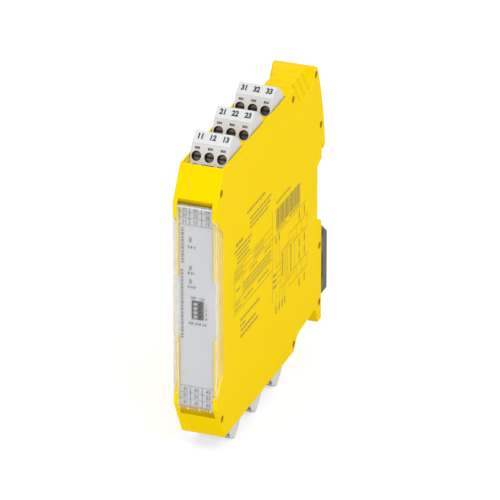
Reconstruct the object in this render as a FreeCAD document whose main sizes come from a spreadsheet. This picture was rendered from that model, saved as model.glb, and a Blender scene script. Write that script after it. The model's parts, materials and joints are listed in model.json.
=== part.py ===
import FreeCAD, Part
import os
import Sketcher
from FreeCAD import Placement, Rotation, Vector
from types import SimpleNamespace

# Interface relay module for a 35 mm top-hat rail, in millimetres.
# X runs across the width, Y from front to back, Z up.
# Y = 0 is the plane that seats on the rail, Z = 0 the rail's centreline.

SIZES = [
    # Housing
    ("width", 17.5, "housing, side to side"),
    ("height", 112.2, "housing, top edge to bottom edge"),
    ("depth", 114.5, "front face to rail seat"),
    ("wall", 1.2, "side wall"),
    ("front_wall", 1.75, "side wall beside the front panel"),
    ("skin", 1.6, "edge wall of the housing"),
    ("seam_offset", 3.75, "seam between the two shells, left of the centre"),
    ("bevel_top_run", 8.0, "top front bevel, along the depth"),
    ("bevel_top_rise", 12.6, "top front bevel, along the height"),
    ("bevel_bottom_run", 8.2, "bottom front bevel, along the depth"),
    ("bevel_bottom_rise", 15.3, "bottom front bevel, along the height"),
    ("lip_top", 1.0, "upright edge over the cover, back from the front face"),
    ("lip_bottom", 2.7, "upright edge under the cover, back from the front face"),
    ("bay_deck", 1.6, "floor of a plug bay, over the room for the circuit board"),
    ("cavity_front", 9.0, "front of that room, from the front face"),
    ("edge_round", 0.4, "rounded edge of the side walls"),
    ("peg_radius", 1.4, "joining peg of the left shell"),
    ("peg_play", 0.1, "radial clearance of a peg"),
    ("peg_sink", 1.1, "end of a peg below the side face"),
    ("seam_edge", 0.15, "softened edge of the seam between the shells"),
    # Rear of the housing
    ("rail_height", 35.0, "top-hat rail, edge to edge"),
    ("rail_sheet", 1.0, "sheet thickness of the rail"),
    ("rail_play", 0.3, "clearance at the rail's flange"),
    ("rail_flange", 4.3, "height of a seat behind the rail's flange"),
    ("hook_reach", 3.7, "hook behind the seat plane"),
    ("hook_overlap", 0.8, "hook below the rail's top edge"),
    ("hook_room", 1.7, "room above the rail's top edge"),
    ("recess_depth", 4.6, "recess between the two seats"),
    ("recess_slope", 1.6, "sloped end of that recess"),
    ("back_radius", 112.0, "curve of the back above the rail"),
    ("ridge_y", 5.3, "rear ridge, in front of the seat plane"),
    ("ridge_drop", 1.8, "rear ridge below the top edge"),
    ("roof_end", 11.5, "end of the level roof, before the seat plane"),
    ("step_start", 30.9, "step of the bottom edge, before the seat plane"),
    ("step_rise", 5.6, "height of that step"),
    ("step_run", 5.3, "depth of that step"),
    ("foot_depth", 6.5, "rear foot at its root, front to back"),
    ("foot_toe", 3.7, "rear foot at its bottom, front to back"),
    ("foot_rise", 7.1, "rear foot, height"),
    # Finger grip on the top rear
    ("grip_start", 31.5, "ribbed grip, before the seat plane"),
    ("grip_gap", 6.0, "least room between the last plug bay and the grip"),
    ("grip_depth", 25.0, "ribbed grip, front to back"),
    ("grip_inset", 2.65, "sloped right side of the grip, across"),
    ("grip_inset_left", 5.5, "sloped left side of the grip, across"),
    ("grip_sweep", 17.0, "back end of the left slope, swept to the front"),
    ("grip_drop", 9.0, "sloped side of the grip, down"),
    ("grip_lean", 5.9, "slant of the grip's ends"),
    ("rib_pitch", 5.15, "grip ribs, one to the next"),
    ("rib_gap", 2.7, "valley between two ribs of a sloped side"),
    ("rib_depth", 0.5, "riser of a rib"),
    ("rib_run", 4.3, "slope of the roof down to a riser"),
    # Terminal plugs
    ("plug_first", 15.3, "first row of screws, from the front face"),
    ("plug_pitch", 22.9, "one plug to the next"),
    ("bay_wall", 1.1, "side wall beside a plug bay"),
    ("mouth_gap", 0.3, "rebate of that wall at the mouth of the bay, across"),
    ("mouth_drop", 1.2, "depth of that rebate"),
    ("plug_round", 0.3, "rounded edges of a plug"),
    ("plug_play", 0.1, "side clearance of a plug in its bay"),
    ("plug_rise", 7.4, "ridge of a plug above the top edge"),
    ("plug_sink", 11.0, "foot of a plug below the top edge"),
    ("plug_face_foot_y", 2.4, "foot of the screw face, before the screws"),
    ("plug_face_foot_z", 5.0, "foot of the screw face, below the top edge"),
    ("plug_face_top_y", 2.0, "top of the screw face, behind the screws"),
    ("plug_face_top_z", 4.1, "top of the screw face, above the top edge"),
    ("plug_ridge_y", 6.5, "ridge of a plug, behind the screws"),
    ("plug_heel_y", 15.0, "heel of a plug, behind the screws"),
    ("plug_heel_z", 1.5, "heel of a plug, below the top edge"),
    ("plug_back_radius", 21.0, "curved back of a plug"),
    ("plug_foot_y", 13.4, "back of a plug's foot, behind the screws"),
    ("pole_edge", 2.47, "axis of an outer terminal, inside the side of its plug"),
    ("screw_radius", 1.75, "terminal screw head"),
    ("screw_play", 0.2, "radial clearance round a screw head"),
    ("screw_sink", 1.3, "screw head below the screw face"),
    ("screw_head", 1.6, "height of a screw head"),
    ("screw_shank", 1.1, "radius of a screw's thread"),
    ("screw_length", 5.0, "screw below its head"),
    ("screw_slot", 0.7, "width of a screw's drive slot"),
    ("screw_slot_depth", 0.8, "depth of a screw's drive slot"),
    ("screw_tilt", 25.8, "screw axis above the horizontal, in degrees"),
    ("test_slot_width", 2.0, "test slot over a screw"),
    ("test_slot_height", 0.9, "test slot over a screw"),
    ("test_slot_depth", 1.5, "test slot over a screw"),
    ("test_slot_offset", 3.1, "test slot above the screw's axis"),
    ("entry_wall", 1.18, "wall between two wire entries"),
    ("entry_height", 3.4, "wire entry of a plug"),
    ("entry_depth", 6.4, "wire entry of a plug, to its clamp"),
    ("entry_tilt", 48.0, "wire entry axis above the horizontal, in degrees"),
    ("entry_y", 10.6, "mouth of the wire entry, behind the screws"),
    ("entry_z", 4.0, "mouth of the wire entry, above the top edge"),
    ("clamp_play", 0.1, "clearance round a wire clamp"),
    ("clamp_sheet", 0.5, "sheet of a wire clamp"),
    ("clamp_length", 2.5, "wire clamp, along the entry"),
    ("socket_size", 1.5, "pin socket in a plug's foot"),
    ("socket_depth", 7.4, "pin socket in a plug's foot"),
    ("socket_y", 6.0, "pin socket, behind the screws"),
    ("bay_play", 0.4, "clearance behind a plug"),
    ("bay_foot", 0.5, "clearance under a plug"),
    ("bay_front", 6.9, "front of the first bay, before its screws"),
    ("bay_front_play", 0.8, "clearance before the other plugs"),
    ("deck_drop", 0.8, "deck between two bays, below the top edge"),
    # Pins and headers
    ("pin_size", 1.0, "square pin"),
    ("pin_overlap", 6.6, "pin inside a plug"),
    ("header_height", 4.6, "header strip"),
    ("header_depth", 10.0, "header strip, front to back"),
    ("header_slot", 6.0, "slot over a header, front to back"),
    # Front panel and cover
    ("panel_edge", 1.5, "front panel below the upper edge of the front face"),
    ("panel_sink", 2.2, "front panel behind the front face"),
    ("panel_sheet", 1.6, "front panel, thickness"),
    ("panel_play", 0.1, "clearance round the front panel"),
    ("panel_ledge", 0.8, "ledge that carries the front panel"),
    ("panel_ear", 24.6, "height of the panel's wide middle"),
    ("cover_sheet", 1.1, "clear cover, thickness"),
    ("cover_play", 0.15, "clearance round the clear cover"),
    ("cover_wing", 0.95, "side wing of the clear cover, thickness"),
    ("wing_depth", 7.2, "side recess for the cover's wing"),
    ("wing_top", 4.5, "top of that recess, below the panel's top"),
    ("wing_top_inner", 13.8, "the same at the back edge of the recess"),
    ("wing_bottom", 6.2, "bottom of that recess, above the panel's bottom"),
    ("wing_bottom_inner", 13.2, "the same at the back edge of the recess"),
    ("hinge_drop", 0.3, "cover's axis below the panel's top"),
    ("hinge_radius", 0.9, "knuckle along the cover's top"),
    ("hinge_pin", 0.45, "radius of the cover's pins"),
    ("hinge_pin_length", 1.1, "length of the cover's pins"),
    ("hinge_play", 0.1, "clearance of the cover's pins"),
    # Switch and lights
    ("switch_x", 0.35, "slide switch, right of the centre"),
    ("switch_z", 1.0, "slide switch, below the centre"),
    ("switch_width", 4.6, "slide switch body"),
    ("switch_height", 7.6, "slide switch body"),
    ("switch_depth", 6.0, "slide switch body"),
    ("switch_proud", 0.3, "slide switch before the panel"),
    ("switch_play", 0.1, "clearance round the switch body"),
    ("lever_pitch", 1.75, "one switch lever to the next"),
    ("lever_width", 1.4, "switch lever, across"),
    ("lever_height", 0.95, "switch lever, up and down"),
    ("lever_proud", 0.4, "switch lever before its body"),
    ("lever_depth", 1.4, "switch lever inside its body"),
    ("lever_travel", 1.4, "switch lever, off to on"),
    ("lever_play", 0.12, "clearance round a switch lever"),
    ("light_x", 2.5, "status lights, left of the centre"),
    ("light_first", 27.8, "first status light, above the centre"),
    ("light_second", 16.1, "second status light, above the centre"),
    ("light_third", 10.6, "third status light, above the centre"),
    ("light_width", 0.9, "light guide, across"),
    ("light_height", 1.9, "light guide, up and down"),
    ("light_play", 0.05, "clearance round a light guide"),
    ("light_proud", 0.1, "light guide before the panel"),
    ("lamp_size", 1.2, "light-emitting chip"),
    # Circuit board and what it carries
    ("board_front", 10.6, "circuit board, from the front face"),
    ("board_back", 8.5, "circuit board, before the seat plane"),
    ("board_gap", 5.0, "room above and below the circuit board"),
    ("board_sheet", 1.6, "circuit board, thickness"),
    ("board_x", 3.1, "face of the circuit board, left of the centre"),
    ("post_radius", 2.0, "post that carries the circuit board"),
    ("post_front", 20.0, "front posts, from the front face"),
    ("post_back", 18.5, "back posts, before the seat plane"),
    ("post_edge", 11.0, "posts, inside the upper and lower edges of the board"),
    ("relay_length", 28.0, "switching relay"),
    ("relay_height", 15.0, "switching relay"),
    ("relay_gap", 1.05, "room between a relay and the side wall"),
    ("relay_front", 58.0, "switching relays, from the front face"),
    ("relay_first", 3.0, "first relay, above the centre"),
    ("relay_second", 22.0, "second relay, below the centre"),
    ("relay_edge", 0.8, "rounded edge of a relay"),
    ("capacitor_radius", 4.0, "capacitor"),
    ("capacitor_length", 12.0, "capacitor"),
    ("capacitor_front", 30.0, "capacitor, from the front face"),
    ("capacitor_z", 22.0, "capacitor, above the centre"),
    ("core_size", 14.0, "transformer core"),
    ("core_gap", 1.65, "room between the core and the side wall"),
    ("core_front", 28.0, "transformer core, from the front face"),
    ("core_z", 12.0, "transformer core, below the centre"),
    ("core_window", 3.0, "window of the transformer core"),
    # Rail catch
    ("catch_inset", 0.55, "rail catch, inside the side faces"),
    ("catch_depth", 6.7, "rail catch, front to back"),
    ("catch_overlap", 1.2, "catch above the rail's lower edge"),
    ("catch_height", 30.2, "rail catch, bottom to top"),
    ("catch_slope", 5.3, "fall of the catch's upper side to the back"),
    ("catch_ledge", 0.6, "level part of that side"),
    ("catch_round", 0.5, "rounded edges of the rail catch"),
    ("catch_travel", 3.0, "pull that frees the rail"),
    ("stem_width", 5.0, "guide stem of the catch"),
    ("stem_height", 13.0, "guide stem of the catch"),
    ("stem_top", 28.7, "guide stem, below the centre"),
    ("stem_play", 0.3, "clearance round the stem"),
    ("stem_head", 8.0, "head of the stem inside the housing"),
    ("head_sheet", 1.6, "thickness of that head"),
    ("eye_width", 5.0, "tool slot of the catch"),
    ("eye_height", 1.6, "tool slot of the catch"),
    ("eye_foot", 6.5, "tool slot, above the catch's bottom"),
]

# Joining pegs: behind the front face or before the seat plane, and below the top edge, above the
# bottom edge or from the centre.
PEGS = [
    ("front", 5.3, "top", 8.8), ("front", 5.5, "bottom", 9.1), ("seat", 32.4, "top", 3.9),
    ("seat", 7.1, "top", 4.4), ("seat", 1.3, "centre", 28.1), ("seat", 2.4, "centre", -23.3),
    ("seat", 2.3, "bottom", 8.2), ("seat", 31.0, "bottom", 3.4),
]
for number, (y_from, y, z_from, z) in enumerate(PEGS, start=1):
    SIZES.append((f"peg_{number}_y", y, f"peg {number}, from the {y_from}"))
    SIZES.append((f"peg_{number}_z", z, f"peg {number}, from the {z_from}"))


class Size:
    """A length that knows its value and the sheet expression behind it."""

    def __init__(self, value, text):
        self.value = value
        self.text = text

    def _join(self, other, sign, value):
        return Size(value, f"({self.text} {sign} {as_size(other).text})")

    def __add__(self, other):
        return self._join(other, "+", self.value + as_size(other).value)

    def __sub__(self, other):
        return self._join(other, "-", self.value - as_size(other).value)

    def __mul__(self, other):
        return self._join(other, "*", self.value * as_size(other).value)

    def __truediv__(self, other):
        return self._join(other, "/", self.value / as_size(other).value)

    def __neg__(self):
        return as_size(0) - self

    def __radd__(self, other):
        return as_size(other) + self

    def __rsub__(self, other):
        return as_size(other) - self

    def __rmul__(self, other):
        return as_size(other) * self

    def __rtruediv__(self, other):
        return as_size(other) / self


def as_size(value):
    """A plain number as a Size."""
    if isinstance(value, Size):
        return value
    return Size(float(value), repr(float(value)))


doc = FreeCAD.newDocument("interface_relay")
sheet = doc.addObject("Spreadsheet::Sheet", "Sizes")
for row, (alias, number, meaning) in enumerate(SIZES, start=1):
    sheet.set(f"A{row}", meaning)
    sheet.set(f"B{row}", str(number))
    sheet.setAlias(f"B{row}", alias)
doc.recompute()
S = SimpleNamespace(**{alias: Size(number, f"Sizes.{alias}") for alias, number, _ in SIZES})

# Turns from a sketch's own X and Y to the two axes of a plane, and the way a prism grows.
PLANES = {
    "yz": (Rotation(Vector(1, 1, 1), 120), "x", Vector(1, 0, 0)),
    "xz": (Rotation(Vector(1, 0, 0), 90), "y", Vector(0, 1, 0)),
    "xy": (Rotation(), "z", Vector(0, 0, 1)),
}
TURNS = {"x": Rotation(Vector(0, 1, 0), 90), "y": Rotation(Vector(1, 0, 0), -90), "z": Rotation()}


def bind(item, name, value):
    """Ties one property of a document object to the sheet."""
    item.setExpression(name, as_size(value).text)


def place(item, x=0, y=0, z=0):
    """Ties an object's position to the sheet."""
    for axis, value in (("x", x), ("y", y), ("z", z)):
        bind(item, f"Placement.Base.{axis}", value)
    return item


def box(name, x, y, z):
    """A box between two limits on each axis."""
    item = doc.addObject("Part::Box", name)
    for side, (low, high) in (("Length", x), ("Width", y), ("Height", z)):
        bind(item, side, as_size(high) - low)
    return place(item, x[0], y[0], z[0])


def rod(name, radius, length, axis, x=0, y=0, z=0):
    """A cylinder that grows from a point along an axis."""
    item = doc.addObject("Part::Cylinder", name)
    item.Placement = Placement(Vector(), TURNS[axis])
    bind(item, "Radius", radius)
    bind(item, "Height", length)
    return place(item, x, y, z)


def arc_between(start, end, radius):
    """The shorter arc from one point to the next, with its centre on the left."""
    chord = end - start
    middle = start + chord * 0.5
    normal = Vector(-chord.y, chord.x, 0).normalize()
    centre = middle + normal * (radius ** 2 - (chord.Length / 2) ** 2) ** 0.5
    circle = Part.Circle(centre, Vector(0, 0, 1), radius)
    return Part.ArcOfCircle(circle, circle.parameter(start), circle.parameter(end))


def outline(name, plane, points):
    """A closed sketch. A third value at a point is the radius of the edge that follows it."""
    sketch = doc.addObject("Sketcher::SketchObject", name)
    turn, _, _ = PLANES[plane]
    sketch.Placement = Placement(Vector(), turn)
    corners = [Vector(as_size(point[0]).value, as_size(point[1]).value, 0) for point in points]
    for index, point in enumerate(points):
        start, end = corners[index], corners[(index + 1) % len(points)]
        if len(point) > 2:
            sketch.addGeometry(arc_between(start, end, point[2].value))
        else:
            sketch.addGeometry(Part.LineSegment(start, end))
    for index, point in enumerate(points):
        following = (index + 1) % len(points)
        sketch.addConstraint(Sketcher.Constraint("Coincident", index, 2, following, 1))
        rules = [("DistanceX", point[0], corners[index].x), ("DistanceY", point[1], corners[index].y)]
        for kind, value, now in rules:
            number = sketch.addConstraint(Sketcher.Constraint(kind, -1, 1, index, 1, now))
            sketch.setExpression(f"Constraints[{number}]", as_size(value).text)
        if len(point) > 2:
            number = sketch.addConstraint(Sketcher.Constraint("Radius", index, point[2].value))
            sketch.setExpression(f"Constraints[{number}]", point[2].text)
    return sketch


def prism(name, plane, points, low, high):
    """An outline carried along the third axis, from one limit to another."""
    sketch = outline(f"{name}_outline", plane, points)
    _, axis, direction = PLANES[plane]
    bind(sketch, f"Placement.Base.{axis}", low)
    item = doc.addObject("Part::Extrusion", name)
    item.Base = sketch
    item.DirMode = "Custom"
    item.Dir = direction
    item.Solid = True
    bind(item, "LengthFwd", as_size(high) - low)
    return item


def fuse(name, *items):
    """Several solids made one."""
    item = doc.addObject("Part::MultiFuse", name)
    item.Shapes = list(items)
    item.Refine = True
    return item


def common(name, base, tool):
    """What two solids share."""
    item = doc.addObject("Part::Common", name)
    item.Base = base
    item.Tool = tool
    return item


def cut(name, base, *tools):
    """A solid with other solids taken out of it."""
    tool = tools[0] if len(tools) == 1 else fuse(f"{name}_tools", *tools)
    item = doc.addObject("Part::Cut", name)
    item.Base = base
    item.Tool = tool
    item.Refine = True
    return item


def rounded(name, block, radius, chosen):
    """A solid with the edges that a test picks made round."""
    doc.recompute()
    item = doc.addObject("Part::Fillet", name)
    item.Base = block
    item.Edges = [(number, radius.value, radius.value)
                  for number, edge in enumerate(block.Shape.Edges, start=1) if chosen(edge)]
    return item


def at_x(value):
    """A test for edges that lie at one X."""
    limit = as_size(value).value
    return lambda edge: abs(edge.BoundBox.XMin - limit) + abs(edge.BoundBox.XMax - limit) < 0.001


def group(name, *items):
    """Several separate solids in one object."""
    item = doc.addObject("Part::Compound", name)
    item.Links = list(items)
    return item


NODES = []


def node(item, label):
    """Names a finished piece and puts it on the list of files."""
    item.Label = label
    NODES.append(item)
    return item


half_width = S.width / 2
top = S.height / 2
front = -S.depth
seam = -S.seam_offset
front_top = top - S.bevel_top_rise
front_bottom = S.bevel_bottom_rise - top
inner = half_width - S.wall
front_inner = half_width - S.front_wall
wing_inner = half_width - S.cover_wing - S.cover_play
panel_top = front_top - S.panel_edge
grip_start = -S.grip_start
step_start = -S.step_start
step_end = step_start + S.step_run
BEYOND = 2.0


# Outline of the housing, seen from the side

hook_bottom = S.rail_height / 2 - S.hook_overlap
hook_slot = S.rail_sheet + S.rail_play
hook_top = S.rail_height / 2 + S.hook_room
seat_inner = S.rail_height / 2 - S.rail_flange
HOOK_NOSE = 0.8


def housing_outline():
    """Corners of the side, anticlockwise from the bottom of the front face."""
    return [
        (front, front_bottom),
        (front + S.bevel_bottom_run, -top),
        (step_start, -top),
        (step_start + S.step_run * 0.45, S.step_rise * 0.65 - top),
        (step_end, S.step_rise - top),
        (-S.foot_depth, S.foot_rise - top),
        (-S.foot_toe, -top),
        (0, -top),
        (0, -seat_inner),
        (-S.recess_depth, S.recess_slope - seat_inner),
        (-S.recess_depth, seat_inner - S.recess_slope),
        (0, seat_inner),
        (0, hook_top),
        (hook_slot, hook_top),
        (hook_slot, hook_bottom),
        (S.hook_reach - HOOK_NOSE, hook_bottom),
        (S.hook_reach, hook_bottom + HOOK_NOSE),
        (S.hook_reach, hook_top, S.back_radius),
        (-S.ridge_y, top - S.ridge_drop),
        (-S.roof_end, top),
        (front + S.bevel_top_run, top),
        (front, front_top),
    ]


def cavity_outline():
    """The room inside, kept clear of the bays, the bevels and the grip."""
    back = -S.recess_depth - S.skin
    low_back = -S.skin
    grip_floor = top - S.grip_drop - S.skin
    return [
        (front + S.cavity_front, -cavity_top),
        (step_start - 5, -cavity_top),
        (step_end, S.step_rise + S.skin - top),
        (low_back - 3.4, S.foot_rise + S.skin - top),
        (low_back, S.foot_rise + S.skin + 2.5 - top),
        (low_back, -seat_inner - S.skin),
        (back, S.recess_slope - seat_inner - S.skin / 2),
        (back, seat_inner - S.recess_slope + S.skin / 2),
        (low_back - 1.0, seat_inner + 4),
        (low_back - 5.0, grip_floor - 4),
        (low_back - 7.0, grip_floor),
        (grip_start - 3, grip_floor),
        (grip_start - 5, cavity_top),
        (front + S.cavity_front, cavity_top),
    ]


def plug_y(index):
    """Y of the screws of one plug."""
    return front + S.plug_first + S.plug_pitch * index


def bay_limits(index):
    """Front and back of the bay that one plug sits in."""
    before = S.bay_front if index == 0 else S.plug_face_foot_y + S.bay_front_play
    return plug_y(index) - before, plug_y(index) + S.plug_heel_y + S.bay_play


POLE_COUNT = 3
bay_run = S.depth - S.plug_first - S.plug_heel_y - S.bay_play - S.grip_start - S.grip_gap
PLUG_COUNT = int(bay_run.value / S.plug_pitch.value) + 1
bay_half = half_width - S.bay_wall
plug_half = bay_half - S.plug_play
pole_pitch = plug_half - S.pole_edge
entry_width = pole_pitch - S.entry_wall
bay_floor = top - S.plug_sink - S.bay_foot
cavity_top = bay_floor - S.bay_deck


def span(low, high, sign):
    """A pair of limits above the centre, or their mirror image below it."""
    return (low, high) if sign > 0 else (-high, -low)


def bay_tools(tag):
    """Cutters for the plug bays and the slots over the headers, top and bottom."""
    tools = []
    for side, sign in (("top", 1), ("bottom", -1)):
        for index in range(PLUG_COUNT):
            low, high = bay_limits(index)
            tools.append(box(f"{tag}_bay_{side}_{index}", (-bay_half, bay_half), (low, high),
                             span(bay_floor, top + BEYOND, sign)))
            tools.append(box(f"{tag}_mouth_{side}_{index}",
                             (-bay_half - S.mouth_gap, bay_half + S.mouth_gap), (low, high),
                             span(top - S.mouth_drop, top + BEYOND, sign)))
            middle = plug_y(index) + S.socket_y
            tools.append(box(f"{tag}_header_slot_{side}_{index}", (-bay_half, bay_half),
                             (middle - S.header_slot / 2, middle + S.header_slot / 2),
                             span(cavity_top - 0.5, bay_floor + 0.5, sign)))
        tools.append(box(f"{tag}_decks_{side}", (-bay_half, bay_half),
                         (bay_limits(0)[1] - 0.1, bay_limits(PLUG_COUNT - 1)[0] + 0.1),
                         span(top - S.deck_drop, top + BEYOND, sign)))
    return tools


def front_tools(tag):
    """Cutters for the front panel, its wide middle, the room round the cover and its wings."""
    panel_half = panel_top + S.panel_play
    knuckle_back = hinge_y + S.hinge_radius + S.cover_play
    knuckle_top = hinge_z + S.hinge_radius + S.cover_play
    ledge_y = front + S.panel_sink + S.panel_sheet
    ear = S.panel_ear / 2 + S.panel_play
    ledge_x = front_inner - S.panel_ledge
    back = front + S.cavity_front + 0.1
    tools = [
        box(f"{tag}_panel_bay", (-front_inner, front_inner), (front - BEYOND, ledge_y),
            (-panel_half, panel_half)),
        box(f"{tag}_cover_seat", (-half_width - BEYOND, half_width + BEYOND),
            (front - BEYOND, front + S.cover_sheet + S.cover_play), (wing_foot, wing_head)),
        box(f"{tag}_panel_ears", (-wing_inner, wing_inner), (front - BEYOND, ledge_y), (-ear, ear)),
        box(f"{tag}_panel_back", (-ledge_x, ledge_x), (ledge_y - 0.1, back),
            (S.panel_ledge - panel_half, panel_half - S.panel_ledge)),
        box(f"{tag}_knuckle_room", (-front_inner, front_inner), (front - BEYOND, knuckle_back),
            (panel_half - 0.1, knuckle_top)),
        box(f"{tag}_lip_top", (-front_inner, front_inner), (front - BEYOND, front + S.lip_top),
            (panel_half - 0.1, top)),
        box(f"{tag}_lip_bottom", (-front_inner, front_inner),
            (front - BEYOND, front + S.lip_bottom), (-top, 0.1 - panel_half)),
    ]
    for side, sign in (("left", -1), ("right", 1)):
        low, high = span(wing_inner, half_width + BEYOND, sign)
        tools.append(prism(f"{tag}_wing_{side}", "yz", wing_outline(0, BEYOND), low, high))
        low, high = span(front_inner - 0.1, front_inner + S.hinge_pin_length + S.hinge_play, sign)
        tools.append(rod(f"{tag}_pin_hole_{side}", S.hinge_pin + S.hinge_play, high - low, "x",
                         low, hinge_y, hinge_z))
    return tools


hinge_y = front + S.hinge_radius
hinge_z = panel_top - S.hinge_drop


wing_head = panel_top - S.wing_top
wing_foot = S.wing_bottom - panel_top


def wing_edge(play):
    """Corners of the cover's side wing, from the bottom of the front round its back edge."""
    inner_head = panel_top - S.wing_top_inner - play
    return [
        (front, wing_foot + play),
        (front + S.wing_depth - play, S.wing_bottom_inner - panel_top + play),
        (front + S.wing_depth - play, inner_head),
        (front + S.wing_depth * 0.86 - play, inner_head + 3),
        (front, wing_head - play),
    ]


def wing_outline(play, beyond):
    """The cover's side wing, or the recess that holds it."""
    return [
        (front - beyond, wing_foot + play - beyond),
        *wing_edge(play),
        (front - beyond, wing_head - play),
    ] if beyond else wing_edge(play)


def grip_tools(tag, sign):
    """Cutters for one sloped side of the grip and its valleys."""
    start = grip_start
    end = start + S.grip_depth
    floor = top - S.grip_drop
    inset = S.grip_inset if sign > 0 else S.grip_inset_left
    side = [
        (start - BEYOND * 0.6, top + BEYOND),
        (start + S.grip_lean, floor),
        (end - S.grip_lean, floor + 0.6),
        (end + BEYOND * 0.6, top + BEYOND),
    ]

    def slope(extra, name):
        rise = S.grip_drop / inset
        edge = half_width - inset - extra
        profile = [
            (edge - BEYOND / rise, top + BEYOND),
            (half_width + BEYOND, floor - BEYOND * rise - extra * rise),
            (half_width + BEYOND, top + BEYOND),
        ]
        if sign < 0:
            profile = [(-x, z) for x, z in reversed(profile)]
        return prism(name, "xz", profile, start - BEYOND, end + BEYOND)

    x_low, x_high = span(half_width - inset - 1.5, half_width + BEYOND, sign)
    flank = common(f"{tag}_flank", slope(0, f"{tag}_slope"),
                   prism(f"{tag}_flank_side", "yz", side[::-1], x_low, x_high))
    if sign < 0:
        edge = inset - half_width
        sweep = prism(f"{tag}_sweep", "xy",
                      [(x_low - 0.1, start - BEYOND), (x_high + 0.1, start - BEYOND),
                       (x_high + 0.1, end - S.grip_sweep), (edge, end - S.grip_sweep),
                       (-half_width, end), (x_low - 0.1, end)], floor - BEYOND * 2, top + BEYOND * 2)
        return [common(f"{tag}_swept", flank, sweep)]
    tools = [flank]
    for index in range(3):
        low = start + S.grip_lean + S.rib_pitch * index
        lean = S.grip_lean * 0.5
        strip = prism(f"{tag}_strip_{index}", "yz",
                      [(low, floor + 0.9), (low + S.rib_gap, floor + 0.9),
                       (low + S.rib_gap - lean, top + BEYOND), (low - lean, top + BEYOND)],
                      x_low, x_high)
        tools.append(common(f"{tag}_valley_{index}",
                            slope(S.rib_depth * 0.6, f"{tag}_slope_{index}"), strip))
    return tools


def roof_tools(tag):
    """Slopes across the roof of the grip, each down to a riser that faces the front."""
    tools = []
    for index in range(4):
        riser = grip_start + S.rib_pitch * index + S.rib_gap / 2
        corners = [(riser - S.rib_run, top), (riser, top - S.rib_depth), (riser, top + BEYOND),
                   (riser - S.rib_run, top + BEYOND)]
        tools.append(prism(f"{tag}_roof_{index}", "yz", corners, -half_width - BEYOND,
                           half_width + BEYOND))
    return tools


def catch_tool(tag):
    """The slot in the back wall for the catch's stem."""
    bottom = S.stem_top + S.stem_height + S.catch_travel + S.stem_play
    return box(f"{tag}_stem_slot",
               (-S.stem_width / 2 - S.stem_play, S.stem_width / 2 + S.stem_play),
               (-S.skin - 0.5, BEYOND), (-bottom, S.stem_play - S.stem_top))


def peg_places():
    """Y and Z of each joining peg."""
    places = []
    for number, (y_from, _, z_from, _) in enumerate(PEGS, start=1):
        y, z = getattr(S, f"peg_{number}_y"), getattr(S, f"peg_{number}_z")
        places.append((front + y if y_from == "front" else -y,
                       {"top": top - z, "bottom": z - top, "centre": z}[z_from]))
    return places


# Right shell: the deep one, with the right side wall

right_side = prism("right_side", "yz", housing_outline(), seam, half_width)
right_block = rounded("right_block", rounded("right_seam", right_side, S.seam_edge, at_x(seam)),
                      S.edge_round, at_x(half_width))
right_room = prism("right_room", "yz", cavity_outline(), seam - 0.1, inner)
right_holes = [rod(f"right_peg_hole_{index}", S.peg_radius + S.peg_play, S.width, "x", seam - 1, y, z)
               for index, (y, z) in enumerate(peg_places())]
housing_right = cut("right_shell", right_block, right_room, *bay_tools("right"),
                    *front_tools("right"), *grip_tools("right_grip", 1), *roof_tools("right"),
                    catch_tool("right"), *right_holes)
node(housing_right, "housing_right")

# Left shell: the shallow one, with the left side wall and the joining pegs

left_side = prism("left_side", "yz", housing_outline(), -half_width, seam)
left_block = rounded("left_block", left_side,
                     S.edge_round, at_x(-half_width))
left_room = prism("left_room", "yz", cavity_outline(), -inner, seam + 0.1)
left_open = cut("left_open", left_block, left_room, *bay_tools("left"), *front_tools("left"),
                *grip_tools("left_grip", -1), *roof_tools("left"),
                catch_tool("left"))
left_pegs = [rod(f"left_peg_{index}", S.peg_radius, S.width - S.wall - S.peg_sink, "x",
                 S.wall - half_width, y, z)
             for index, (y, z) in enumerate(peg_places())]
board_back_x = -S.board_x - S.board_sheet
board_half = cavity_top - S.board_gap
post_front = front + S.post_front
post_z = board_half - S.post_edge
left_posts = [rod(f"left_post_{index}", S.post_radius, board_back_x + inner + 0.1, "x", -inner - 0.1,
                  y, z)
              for index, (y, z) in enumerate([(post_front, post_z), (post_front, -post_z),
                                              (-S.post_back, post_z), (-S.post_back, -post_z)])]
housing_left = fuse("left_shell", left_open, *left_pegs, *left_posts)
node(housing_left, "housing_left")


# Front panel with windows for the switch and the lights

LIGHTS = [S.light_first, S.light_second, S.light_third]
panel_y = front + S.panel_sink
panel_half_x = front_inner - S.panel_play
panel_plate = box("panel_plate", (-panel_half_x, panel_half_x),
                  (panel_y, panel_y + S.panel_sheet), (-panel_top, panel_top))
ear_x = wing_inner - S.panel_play
panel_ears = box("panel_ears", (-ear_x, ear_x), (panel_y, panel_y + S.panel_sheet),
                 (-S.panel_ear / 2, S.panel_ear / 2))
switch_half_x = S.switch_width / 2
switch_half_z = S.switch_height / 2
switch_hole = box("switch_hole",
                  (S.switch_x - switch_half_x - S.switch_play,
                   S.switch_x + switch_half_x + S.switch_play),
                  (panel_y - BEYOND, panel_y + S.panel_sheet + BEYOND),
                  (-S.switch_z - switch_half_z - S.switch_play,
                   switch_half_z + S.switch_play - S.switch_z))
light_holes = [box(f"light_hole_{index}",
                   (-S.light_x - S.light_width / 2 - S.light_play,
                    S.light_width / 2 + S.light_play - S.light_x),
                   (panel_y - BEYOND, panel_y + S.panel_sheet + BEYOND),
                   (height - S.light_height / 2 - S.light_play,
                    height + S.light_height / 2 + S.light_play))
               for index, height in enumerate(LIGHTS)]
front_panel = cut("panel_body", fuse("panel_solid", panel_plate, panel_ears),
                  switch_hole, *light_holes)
node(front_panel, "front_panel")


# Clear cover: a plate with two wings, a knuckle along its top and a pin at each end of it

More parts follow.
